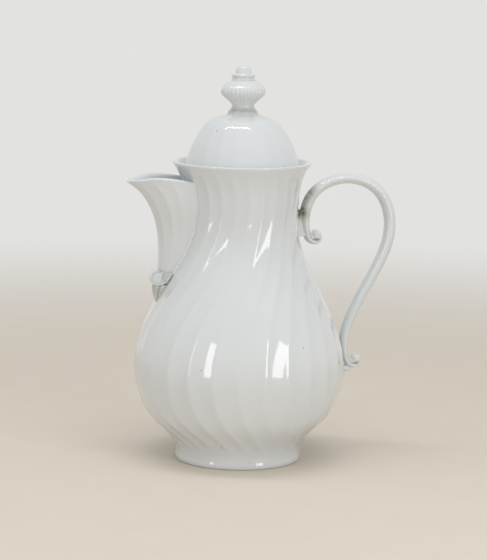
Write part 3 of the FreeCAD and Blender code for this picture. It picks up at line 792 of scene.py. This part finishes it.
def finish_piece(piece, node, body):
    """Glazes a piece that has no material yet and puts it in the place of its solid."""
    if not piece.data.materials:
        piece.data.materials.append(glaze)
    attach(piece, body)
    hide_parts(node)


# Pieces of the pot


def body_shell():
    """The swirl-fluted body: floor, inside, ledge, rim and fluted outside in one turned outline, pierced.
    Glaze hides the rim's seam, so this piece stands for the rim too."""
    inside_heights = np.linspace(INSIDE_LOW, INSIDE_HIGH, INSIDE_ROWS)
    inside_radii = np.maximum(body_radius(inside_heights) - WALL, BORE)
    inside = np.column_stack([inside_radii, inside_heights])
    floor_corner = (inside_radii[0] - FLOOR_CORNER, FLOOR_TOP, FLOOR_ROUND)
    floor = rounded([(0, FLOOR_TOP, 0), floor_corner, (*inside[0], 0)])
    rim_outer = float(body_radius(RIM_EDGE))
    rim = [(rim_outer + out, RIM + up, rounding) for out, up, rounding in RIM_CORNERS]
    top = rounded([(*inside[-1], 0)] + LEDGE_CORNERS + rim + [(rim_outer, RIM_EDGE, 0)])
    outside_heights = np.linspace(RIM_EDGE, FOOT_TOP, OUTSIDE_ROWS)[1:]
    outside = np.column_stack([outside_radius(outside_heights), outside_heights])
    under = [(UNDER_RADIUS, FOOT_TOP), (0.0, FOOT_TOP)]
    profile = np.concatenate([floor, inside[1:], top[1:], outside, under])
    pressed = flutes_start(outside_heights) * (1 - step_up(*FLUTES_FADE, outside_heights))
    depths = np.zeros(len(profile))
    depths[-len(outside) - len(under):-len(under)] = FLUTE_DEPTH * pressed * outside[:, 0] / BELLY_RADIUS
    turns = FLUTE_PHASE + body_turn(np.clip(profile[:, 1], FOOT_TOP, RIM))
    piece = lathe("body_shell", profile, FLUTES * FLUTE_POINTS, depths, turns)
    run_tree(piece, flutes, {"Flute count": FLUTES, "Ridge softness": FLUTE_SOFTNESS, "Glaze": glaze})
    run_tree(piece, strainer, {
        "Hole radius": STRAINER_HOLE / 2 * MM, "Pitch": STRAINER_PITCH * MM,
        "Hole length": STRAINER_DEPTH * MM, "Middle": Vector(STRAINER_MIDDLE) * MM, "Glaze": glaze})
    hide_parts("body_rim")
    finish_piece(piece, "body_shell", "pot")


def foot_ring():
    """The plain turned ring with a soft bead at its base, glazed but for its standing face."""
    side = FOOT_SIDE + [(FOOT_TOP, float(outside_radius(FOOT_TOP)))]
    side_radii = spline(*np.array(side).T)
    low, low_radius = FOOT_SIDE[0]
    heights = np.linspace(low, FOOT_TOP, FOOT_ROWS)
    edge = rounded([
        (FOOT_BORE, FOOT_TOP, 0), (FOOT_BORE, 0.0, FOOT_ROUND), (STANDING_RADIUS, 0.0, FOOT_ROUND),
        (low_radius, low, 0)])
    rise = np.column_stack([side_radii(heights), heights])[1:]
    piece = lathe("foot_ring", np.concatenate([edge, rise, [(FOOT_BORE, FOOT_TOP)]]), segments=180)
    piece.data.materials.append(glaze)
    piece.data.materials.append(bare)
    for face in piece.data.polygons:
        if face.center.z < BARE_BELOW * MM:
            face.material_index = 1
    finish_piece(piece, "foot_ring", "pot")


spout_shape = spline([row[0] for row in SPOUT_LEVELS], [row[1:] for row in SPOUT_LEVELS])


def spout_flute(degrees):
    """Share of the flute depth at an angle of the spout's plan: none on a ridge, all midway to the next. The
    ridges are softened."""
    index = np.clip(np.searchsorted(SPOUT_RIDGES, degrees, side="right") - 1, 0, len(SPOUT_RIDGES) - 2)
    share = (degrees - SPOUT_RIDGES[index]) / (SPOUT_RIDGES[index + 1] - SPOUT_RIDGES[index])
    hollow = 1 - (2 * share - 1) ** 2
    soft = SPOUT_SOFTNESS
    return (np.sqrt(hollow ** 2 + soft ** 2) - soft) / (math.sqrt(1 + soft ** 2) - soft)


def spout_spot(degrees, rise, inward):
    """Places on the spout: angle of its plan from side to side, share of its fall, depth under its skin."""
    height = SPOUT_BOTTOM + rise * SPOUT_FALL
    standoff, width = spout_shape(np.clip(rise, 0, SPOUT_LEVELS[-1][0])).T
    root = body_radius(np.minimum(height, RIM)) - SPOUT_ROOT
    lean = SPOUT_LEAN + SPOUT_LEAN_MORE * step_up(*SPOUT_LEAN_RISES, rise)
    reach = standoff * SPOUT_REACH + SPOUT_ROOT - inward * lean
    half = width * SPOUT_HALF_WIDTH - inward
    angle = np.radians(degrees)
    return np.stack([-root - reach * np.sin(angle), half * np.cos(angle), height], -1)


def spout_fillet(rise):
    """The soft hollow between spout and body at one height: the angle of the plan where it starts, and its
    points from the spout round to the body. It is the arc of a ball that rolls along both."""
    height = SPOUT_BOTTOM + rise * SPOUT_FALL
    radius = float(body_radius(height)) - FILLET_SINK
    line = spout_spot(FILLET_STARTS, np.full(len(FILLET_STARTS), rise), 0.0)[:, :2]
    along = np.gradient(line, axis=0)
    outward = np.stack([along[:, 1], -along[:, 0]], 1) / np.linalg.norm(along, axis=1)[:, None]
    centres = line + SPOUT_FILLET * outward
    clear = np.linalg.norm(centres, axis=1) - radius - SPOUT_FILLET
    start = float(np.interp(0.0, clear, FILLET_STARTS))
    centre = np.array([np.interp(start, FILLET_STARTS, centres[:, i]) for i in (0, 1)])
    first = np.array([np.interp(start, FILLET_STARTS, line[:, i]) for i in (0, 1)]) - centre
    last = -centre / np.linalg.norm(centre) * SPOUT_FILLET
    points = []
    for part in np.linspace(0, 1, FILLET_STEPS + 1)[1:]:
        ray = first * (1 - part) + last * part
        points.append(centre + ray / np.linalg.norm(ray) * SPOUT_FILLET)
    points.append(points[-1] * (1 - FILLET_ROOT / radius))
    return start, np.column_stack([points, np.full(len(points), height)])


def spout_lip(share):
    """Rise of the lip round the spout: an arc over its length, lifted behind the tip. How high the lip is and
    how far out it lies depend on each other, so it is worked out in a few passes."""
    start = spout_fillet(1.0)[0]
    bow = SPOUT_REACH ** 2 / (8 * LIP_ARCH) + LIP_ARCH / 2
    tip = float(body_radius(LIP)) + SPOUT_REACH
    rise = np.ones_like(share)
    for _ in range(LIP_PASSES):
        out = -spout_spot(start + (180 - 2 * start) * share, rise, 0.0)[:, 0]
        top = LIP + LIP_ARCH - bow + np.sqrt(bow ** 2 - (out - tip + SPOUT_REACH / 2) ** 2)
        top = top + LIP_LIFT * step_up(0, LIP_LIFT_RUN, (tip - out) / SPOUT_REACH)
        rise = (top - SPOUT_BOTTOM) / SPOUT_FALL
    return rise


def spout_row(share, rise, flute, inward, tuck=0.0):
    """One row round the spout, with its fillets at both ends. Under the outside the fillets are flat, and at
    the spout's foot row and fillets tuck in."""
    start, fillet = spout_fillet(float(rise[0]))
    degrees = start + (180 - 2 * start) * share
    depth = inward + TUCK_DEPTH * tuck + flute * SPOUT_FLUTE_DEPTH * spout_flute(np.clip(degrees, 0, 180))
    line = spout_spot(degrees, rise, depth)
    if inward > 0:
        fillet = line[0] + (fillet[-1] - line[0]) * np.linspace(0, 1, len(fillet))[:, None]
    fillet = fillet + (fillet[-1] - fillet) * TUCK_FILLET * tuck
    return np.concatenate([fillet[::-1], line, fillet * (1, -1, 1)])


def closing_row(row, height, lift):
    """A row moved straight back into the body's wall as it is at a height, which closes the spout there."""
    return row * (0, 1, 1) + (-float(body_radius(height)) + WALL, 0, lift)


def spout():
    """The beak: fluted outside that runs softly into the neck, rounded arching lip, and a smooth channel."""
    share = np.linspace(0, 1, SPOUT_COLUMNS)
    lip = spout_lip(share)
    lip_round = LIP_ROUND / SPOUT_FALL
    rows = []
    for part in np.linspace(0, 1, SPOUT_ROWS):
        flute = SPOUT_LEAST_FLUTE + (1 - SPOUT_LEAST_FLUTE) * float(step_up(*SPOUT_FLUTES_START, part))
        flute = min((1 - part) / SPOUT_FLUTES_END, 1) * flute
        tuck = max(1 - part / TUCK_RISE, 0) ** 2
        rows.append(spout_row(share, part * (lip - lip_round), flute, 0.0, tuck))
    rows.insert(0, closing_row(rows[0], SPOUT_BOTTOM, SPOUT_END_RISE))
    for part in LIP_TURN:
        over = lip - lip_round * (1 - math.sin(math.pi * part))
        rows.append(spout_row(share, over, 0.0, SPOUT_WALL * part))
    for part in np.linspace(1, 0, CHANNEL_ROWS):
        closing = CHANNEL_CLOSING * max(1 - part / CHANNEL_BEND, 0) ** 2
        rise = CHANNEL_BOTTOM + part * (lip - lip_round - CHANNEL_BOTTOM)
        rows.append(spout_row(share, rise, 0.0, SPOUT_WALL + closing))
    rows.append(closing_row(rows[-1], SPOUT_BOTTOM + CHANNEL_BOTTOM * SPOUT_FALL, 0))
    faces = grid_faces(len(rows), len(rows[0]), False)
    piece = tidy_mesh(new_piece("spout", np.concatenate(rows), faces))
    finish_piece(piece, "spout", "pot")


def join_soft(name, parts, voxel, rounds):
    """Joins overlapping parts into one skin and rounds its creases, as glaze does."""
    work = bmesh.new()
    for part in parts:
        work.from_mesh(part.data)
        bpy.data.objects.remove(part)
    mesh = bpy.data.meshes.new(name)
    work.to_mesh(mesh)
    work.free()
    piece = place_object(name, mesh)
    skin = piece.modifiers.new("Skin", "REMESH")
    skin.mode = "VOXEL"
    skin.voxel_size = voxel * MM
    ease = piece.modifiers.new("Ease", "SMOOTH")
    ease.factor = 0.5
    ease.iterations = rounds
    return bake(piece)


def flanks(spots, halves):
    """The two flanks of a slab across the pot, from places in its middle plane and half its width at each."""
    return [[spot + side * half * ACROSS for spot, half in zip(spots, halves)] for side in (-1, 1)]


scroll_out = float(body_radius(SCROLL_HEIGHT)) + SCROLL_RADIUS + SCROLL_GAP


def scroll_spot(angle, radius):
    """A place on the scroll's side: angle round its eye from the front upwards, in degrees."""
    turn = math.radians(angle)
    return np.array((-scroll_out - radius * math.cos(turn), 0.0, SCROLL_HEIGHT + radius * math.sin(turn)))


def band_half_width(angle):
    """Half the width of the scroll's band: wide like the spout's foot at first, then narrow like the coil."""
    return np.interp(angle, *np.array(BAND_WIDTHS).T)


def scroll_coil():
    """The coil as a snail-shaped disc with softly domed ends."""
    angles = np.linspace(SCROLL_COIL[0][0], SCROLL_COIL[-1][0], COIL_COLUMNS + 1)[:-1]
    radii = spline(*np.array(SCROLL_COIL).T)(angles)
    half = band_half_width(360) - COIL_INSET
    rows = [(part, half - inset) for part, inset in COIL_END]
    rows = rows + [(part, -place) for part, place in reversed(rows)]
    points = []
    for part, place in rows:
        for angle, radius in zip(angles, radii):
            points.append(scroll_spot(angle, part * radius) + place * ACROSS)
    return tidy_mesh(new_piece("scroll_coil", points, grid_faces(len(rows), len(angles), True)))


def scroll_band():
    """The band that comes off the spout, runs round under the coil and closes over it, thinner as it goes."""
    angles = np.linspace(SCROLL_BAND[0][0], SCROLL_BAND[-1][0], BAND_ROWS)
    radii = spline(*np.array(SCROLL_BAND).T)(angles)
    line = np.array([scroll_spot(angle, radius) for angle, radius in zip(angles, radii)])
    along = np.gradient(line, axis=0)
    along = along / np.linalg.norm(along, axis=1)[:, None]
    thick = np.interp(angles, *np.array(BAND_THICKNESSES).T)
    bends = np.linspace(0, 2 * math.pi, BAND_SIDES, endpoint=False)
    broad = signed_power(np.cos(bends), BAND_SQUARENESS)
    rows = []
    for centre, run, half, wide in zip(line, along, thick, band_half_width(angles)):
        normal = np.cross(ACROSS, run)
        rows.append(centre + np.outer(half * np.sin(bends), normal) + np.outer(wide * broad, ACROSS))
    return capped_tube("scroll_band", rows)


def scroll_root():
    """The clay behind the scroll: it fills in from the band to the wall of the body."""
    edge = [scroll_spot(angle, radius) for angle, radius in ROOT_BAND]
    halves = [band_half_width(angle) - ROOT_INSET for angle, radius in ROOT_BAND]
    for spot, half in ((edge[-1], halves[-1]), (edge[0], halves[0])):
        edge.append(np.array((ROOT_SINK - float(body_radius(spot[2])), 0.0, spot[2])))
        halves.append(half)
    return capped_tube("scroll_root", flanks(edge, halves))


def scroll_hollow():
    """The clay between the coil and its band, which lies deepest at the eye and fans out from there."""
    eye = np.array((-scroll_out, 0.0, SCROLL_HEIGHT))
    top = np.array((-scroll_out + HOLLOW_TOP_BACK, 0.0, SPOUT_BOTTOM + HOLLOW_TOP_RISE))
    edge = [eye, top] + [scroll_spot(angle, radius) for angle, radius in ROOT_BAND]
    halves = [HOLLOW_EYE_HALF, HOLLOW_TOP_HALF]
    halves += [band_half_width(angle) - HOLLOW_INSET for angle, radius in ROOT_BAND]
    count = len(edge)
    fans = [(start, start + i, start + i + 1) for start in (0, count) for i in range(1, count - 1)]
    points = np.concatenate(flanks(edge, halves))
    return tidy_mesh(new_piece("scroll_hollow", points, grid_faces(2, count, True) + fans))


def spout_scroll():
    """The volute at the spout's foot: a coil in its band, joined to the wall behind."""
    parts = [scroll_coil(), scroll_band(), scroll_root(), scroll_hollow()]
    piece = join_soft("spout_scroll", parts, voxel=0.15, rounds=6)
    # Painted shade in the scroll's groove, and painted shade with some staining under its band
    for (angle, radius), stain_and_shade in SCROLL_SHADES_AND_STAINS:
        darken_near(piece, spread([scroll_spot(angle, radius)[::2]], SCROLL_PLACES), *stain_and_shade)
    finish_piece(piece, "spout_scroll", "pot")


def spout_leaf():
    """The leaf drop: lobes that fan up from a point on the body to the underside of the scroll."""
    low = SCROLL_HEIGHT - SCROLL_RADIUS - LEAF_LENGTH
    level = spline([row[0] for row in LEAF_LEVELS], [row[1:] for row in LEAF_LEVELS])
    angles = np.linspace(0, math.pi, LEAF_LOBES * LOBE_POINTS + 1)
    lobe = np.abs(np.sin(angles * LEAF_LOBES)) ** LOBE_FULLNESS
    rows = []
    leaf_darkening = []
    for rise in np.linspace(LEAF_LEVELS[0][0], LEAF_LEVELS[-1][0], LEAF_ROWS):
        wide, out = level(rise)
        height = low + rise * LEAF_LENGTH
        root = float(body_radius(height)) - LEAF_ROOT
        half = wide * LEAF_WIDTH / 2
        groove = LOBE_GROOVE * half * (1 - lobe)
        x = -root - (out * LEAF_HEIGHT + LEAF_ROOT - groove) * np.sin(angles)
        y = (half - groove) * np.cos(angles)
        rows.append(np.stack([x, y, np.full_like(x, height)], -1))
        # Painted shade over the leaf's staining: darker in the grooves and towards the scroll, lighter below
        upper = LEAF_UPPER_SHADE * (rise - LEAF_SHADE_MIDDLE)
        leaf_darkening.append(np.clip(LEAF_SHADE_AND_STAIN + LEAF_GROOVE_SHADE * (1 - lobe) + upper, 0, 1))
    piece = capped_tube("spout_leaf", rows, {"stain_and_shade": np.concatenate(leaf_darkening)})
    finish_piece(piece, "spout_leaf", "pot")


def curl(eye, first_radius, last_radius, first_share, last_share):
    """Middle line of a curled end of the handle, with the strap's shares as a fourth number."""
    spots = []
    for degrees, part, pull in CURL_TURN:
        angle = math.radians(degrees)
        radius = (first_radius + (last_radius - first_radius) * part) * pull
        spot = eye + np.array((math.cos(angle), 0.0, math.sin(angle))) * radius
        spots.append((*spot, first_share + (last_share - first_share) * part))
    return spots


def roll(name, centre, radius, half_width, rounding):
    """A short roll across the pot with rounded ends."""
    outline = rounded([(0, -half_width, 0), (radius, -half_width, rounding), (radius, half_width, rounding),
                       (0, half_width, 0)])
    piece = lathe(name, outline, segments=64)
    piece.data.transform(Matrix.Translation(Vector(centre) * MM) @ Matrix.Rotation(math.pi / 2, 4, "X"))
    return piece


def handle():
    """The S-scroll strap: a soft lozenge along the middle line, with a rolled eye in each curl."""
    line = curl(UPPER_EYE, *UPPER_CURL)[::-1]
    line += [(*(UPPER_EYE + (out, 0, up)), share) for out, up, share in UPPER_PATH]
    line += [(*(LOWER_EYE + (out, 0, up)), share) for out, up, share in LOWER_PATH]
    line += curl(LOWER_EYE, *LOWER_CURL)
    line = np.array(line)
    travel = np.concatenate([[0], np.cumsum(np.linalg.norm(np.diff(line[:, :3], axis=0), axis=1))])
    path = spline(travel, line[:, :3])
    bends = np.linspace(0, 2 * math.pi, STRAP_SIDES, endpoint=False)
    # A softly pointed section, so that a ridge runs along each side of the strap
    deep = signed_power(np.cos(bends), STRAP_POINT)
    broad = signed_power(np.sin(bends), STRAP_POINT)
    rows = []
    for place in np.linspace(0, travel[-1], STRAP_ROWS):
        along = path(place + STRAP_STEP) - path(place - STRAP_STEP)
        normal = np.cross(ACROSS, along / np.linalg.norm(along))
        share = np.interp(place, travel, line[:, 3])
        thick = share * HANDLE_THICKNESS / 2
        wide = (STRAP_LEAST_WIDTH + (1 - STRAP_LEAST_WIDTH) * share) * HANDLE_WIDTH / 2
        rows.append(path(place) + np.outer(thick * deep, normal) + np.outer(wide * broad, ACROSS))
    parts = [capped_tube("handle_strap", rows)]
    parts.append(roll("upper_eye", UPPER_EYE, *UPPER_ROLL))
    parts.append(roll("lower_eye", LOWER_EYE, *LOWER_ROLL))
    piece = join_soft("handle", parts, voxel=0.3, rounds=5)
    # Painted shade with some staining in the crevice between the strap and the neck
    darken_near(piece, spread(CREVICE, STRAP_PLACES), *CREVICE_SHADE_AND_STAIN)
    # Painted shade with some staining on the strap's side that faces the neck
    darken_near(piece, spread(STRAP_SPOTS, STRAP_PLACES), *STRAP_SHADE_AND_STAIN)
    finish_piece(piece, "handle", "pot")


def handle_upper_lug():
    """The bridge of clay between the neck and the upper curl: a flat plate with soft edges."""
    corners = [np.array((x, 0.0, z)) for x, z in LUG_OUTLINE]
    plate = capped_tube("lug_plate", flanks(corners, [LUG_HALF_WIDTH] * len(corners)))
    piece = join_soft("handle_upper_lug", [plate], voxel=0.2, rounds=8)
    # Painted shade with some staining in the crevice between the lug, the strap and the neck
    darken_near(piece, spread(CREVICE, LUG_PLACES), *CREVICE_SHADE_AND_STAIN)
    finish_piece(piece, "handle_upper_lug", "pot")


def clay_drop(centre, half_sizes):
    """One drop: an ellipsoid about a centre."""
    points = []
    for polar in np.linspace(0, math.pi, DROP_ROWS + 1):
        for angle in np.linspace(0, 2 * math.pi, DROP_SIDES, endpoint=False):
            level = math.sin(polar)
            local = np.array((level * math.cos(angle), level * math.sin(angle), math.cos(polar)))
            points.append(np.asarray(centre) + local * half_sizes)
    return tidy_mesh(new_piece("drop", points, grid_faces(DROP_ROWS + 1, DROP_SIDES, True)))


def handle_lower_drop():
    """Two small drops on the belly under the lower curl."""
    drops = []
    for below, out, half_sizes in DROPS:
        height = LOWER_EYE[2] - below
        drops.append(clay_drop((float(body_radius(height)) + out, 0.0, height), half_sizes))
    piece = join_soft("handle_lower_drop", drops, voxel=0.2, rounds=3)
    finish_piece(piece, "handle_lower_drop", "pot")


# Pieces of the lid


def lid_dome():
    """The fluted dome with its flat seat and its hollow."""
    rise, radius, share = np.array(DOME_RINGS).T
    heights = SEAT + rise * DOME_RISE
    radii = radius * LID_RADIUS
    # The outline runs by its length, because the dome is flat at the top
    length = np.concatenate([[0], np.cumsum(np.hypot(np.diff(heights), np.diff(radii)))])
    outside = spline(length, np.column_stack([radii, heights, share]))(np.linspace(0, length[-1], DOME_ROWS))
    outside = outside[outside[:, 1] > SEAT + LID_EDGE_RISE]
    hollow = rounded(HOLLOW_CORNERS, steps=10)
    edge = (LID_RADIUS - LID_EDGE_IN, SEAT)
    profile = np.concatenate([hollow[:-1], [edge], outside[:, :2], [(0.0, DOME_TOP)]])
    depths = np.zeros(len(profile))
    depths[len(hollow):-1] = DOME_FLUTE_DEPTH * np.clip(outside[:, 2], 0, 1)
    piece = lathe("lid_dome", profile, DOME_FLUTES * FLUTE_POINTS, depths)
    run_tree(piece, flutes, {"Flute count": DOME_FLUTES, "Ridge softness": DOME_SOFTNESS, "Glaze": glaze})
    finish_piece(piece, "lid_dome", "lid")


def lid_collar():
    """The collar that keeps the lid in the neck."""
    piece = lathe("lid_collar", rounded(COLLAR_CORNERS), segments=180)
    finish_piece(piece, "lid_collar", "lid")


def knob_foot():
    """The flared foot of the knob: it runs out thin into the dome, and its flare is stained."""
    piece = lathe("knob_foot", rounded(KNOB_FOOT_CORNERS), segments=160)
    ring = []
    for angle in np.linspace(0, 2 * math.pi, FLARE_SPOTS):
        ring.append((FLARE_RADIUS * math.cos(angle), FLARE_RADIUS * math.sin(angle), FLARE_HEIGHT))
    darken_near(piece, ring, *FLARE_STAIN)
    finish_piece(piece, "knob_foot", "lid")


def knob():
    """The melon of the knob with fine upright ribs."""
    rise, radius, share = np.array(MELON_RINGS).T
    parts = np.linspace(0, 1, MELON_ROWS)
    rows = spline(rise, np.column_stack([radius, share]))(parts)
    side = np.column_stack([rows[:, 0] * MELON_RADIUS, MELON_BOTTOM + parts * MELON_RISE])
    profile = np.concatenate([[(0.0, MELON_BOTTOM)], side, [(0.0, MELON_TOP)]])
    depths = np.concatenate([[0], RIB_DEPTH * np.clip(rows[:, 1], 0, 1), [0]])
    piece = lathe("knob", profile, MELON_RIBS * RIB_POINTS, depths)
    run_tree(piece, flutes, {
        "Flute count": MELON_RIBS, "Ridge softness": RIB_SOFTNESS, "Ribs": True, "Glaze": glaze})
    finish_piece(piece, "knob", "lid")


def knob_cap():
    """The hollow-sided crown and the button on the knob."""
    finish_piece(lathe("knob_cap", rounded(CROWN_CORNERS), segments=128), "knob_cap", "lid")


body_shell()
foot_ring()
spout()
spout_scroll()
spout_leaf()
handle()
handle_upper_lug()
handle_lower_drop()
lid_dome()
lid_collar()
knob_foot()
knob()
knob_cap()

# Camera at the photograph's angle: it stands a little to the spout's side and looks slightly down, and the
# pot leans a little in the picture.

IMAGE_HEIGHT = 560
FOCAL_PIXELS = 2345.0
CAMERA_AWAY = 1.469
CAMERA_HEIGHT = 0.339
CAMERA_AZIMUTH = math.radians(-11.0)
CAMERA_PITCH = math.radians(8.7)
CAMERA_ROLL = math.radians(0.923)
AXIS_OFFSET_PIXELS = 3.26

# Floor's reach in millimetres, height in metres that the lamps aim at, strength of the room's light
FLOOR_REACH = 3000
AIM_HEIGHT = 0.11
ROOM_LIGHT = 0.6


def make_camera():
    """Camera fitted to the outline of the pot in the photograph."""
    lens = bpy.data.cameras.new("photo_camera")
    lens.sensor_width = 36.0
    lens.lens = FOCAL_PIXELS / IMAGE_HEIGHT * lens.sensor_width
    lens.shift_x = AXIS_OFFSET_PIXELS / IMAGE_HEIGHT
    camera = place_object("photo_camera", lens)
    level = Matrix.Rotation(CAMERA_AZIMUTH, 4, "Z") @ Matrix.Rotation(math.pi / 2 - CAMERA_PITCH, 4, "X")
    place = Vector((math.sin(CAMERA_AZIMUTH), -math.cos(CAMERA_AZIMUTH), 0)) * CAMERA_AWAY
    place.z = CAMERA_HEIGHT
    camera.matrix_world = Matrix.Translation(place) @ level @ Matrix.Rotation(CAMERA_ROLL, 4, "Z")
    bpy.context.scene.camera = camera


def make_floor():
    """Plain pale floor, which isn't part of the pot."""
    corners = [(x * FLOOR_REACH, y * FLOOR_REACH, 0) for x, y in ((-1, -1), (1, -1), (1, 1), (-1, 1))]
    floor = new_piece("floor", corners, [(0, 1, 2, 3)])
    floor.data.materials.append(table_matt())


def soft_box(name, azimuth, elevation, distance, width, height, watts, along=None, mirrored=True):
    """A softbox that faces the pot's belly from a direction in degrees, with sizes in metres. Its width lies
    level, or along a line. A fill isn't mirrored in the glaze."""
    lamp = bpy.data.lights.new(name, "AREA")
    lamp.shape = "RECTANGLE"
    lamp.size = width
    lamp.size_y = height
    lamp.energy = watts
    box = place_object(name, lamp)
    box.visible_glossy = mirrored
    a, e = math.radians(azimuth), math.radians(elevation)
    back = Vector((math.sin(a) * math.cos(e), -math.cos(a) * math.cos(e), math.sin(e)))
    side = Vector(along or (math.cos(a), math.sin(a), 0.0))
    side = (side - back * side.dot(back)).normalized()
    turn = Matrix((side, back.cross(side), back)).transposed().to_4x4()
    box.matrix_world = Matrix.Translation(back * distance + Vector((0, 0, AIM_HEIGHT))) @ turn


def make_light():
    """Pale room light, two windows in front, a strip overhead, and soft fills from above, front and left."""
    world = bpy.data.worlds.new("room")
    bpy.context.scene.world = world
    world.use_nodes = True
    tree = world.node_tree
    ray = add(tree, "ShaderNodeLightPath")
    seen = ray["Is Camera Ray"]
    for kind in ("Is Glossy Ray", "Is Transmission Ray"):
        seen = compute(tree, "MAXIMUM", seen, ray[kind])
    level = add(tree, "ShaderNodeMapRange", {"Value": seen, "To Min": ROOM_LIGHT, "To Max": 1.0})[0]
    feed(tree, tree.nodes["Background"], {"Color": colour("#E2E2E0"), "Strength": level})
    # Each lamp: azimuth, elevation, distance, width, height, watts
    soft_box("window_left", -57.8, 9.5, 0.76, 0.085, 0.448, 0.42)
    soft_box("window_right", 29, 9.5, 0.76, 0.175, 0.448, 0.84)
    soft_box("overhead_strip", -70, 78, 1.5, 1.3, 0.08, 3.2, along=(0.9, -0.43, 0.0))
    soft_box("top_fill", 0, 78, 1.9, 1.4, 1.4, 10.5, mirrored=False)
    soft_box("front_fill", 8, 22, 1.8, 1.6, 1.2, 4.0, mirrored=False)
    soft_box("left_fill", -100, 30, 1.8, 1.4, 1.0, 1.2, mirrored=False)


make_camera()
make_floor()
make_light()
bpy.context.scene.view_settings.view_transform = "Standard"
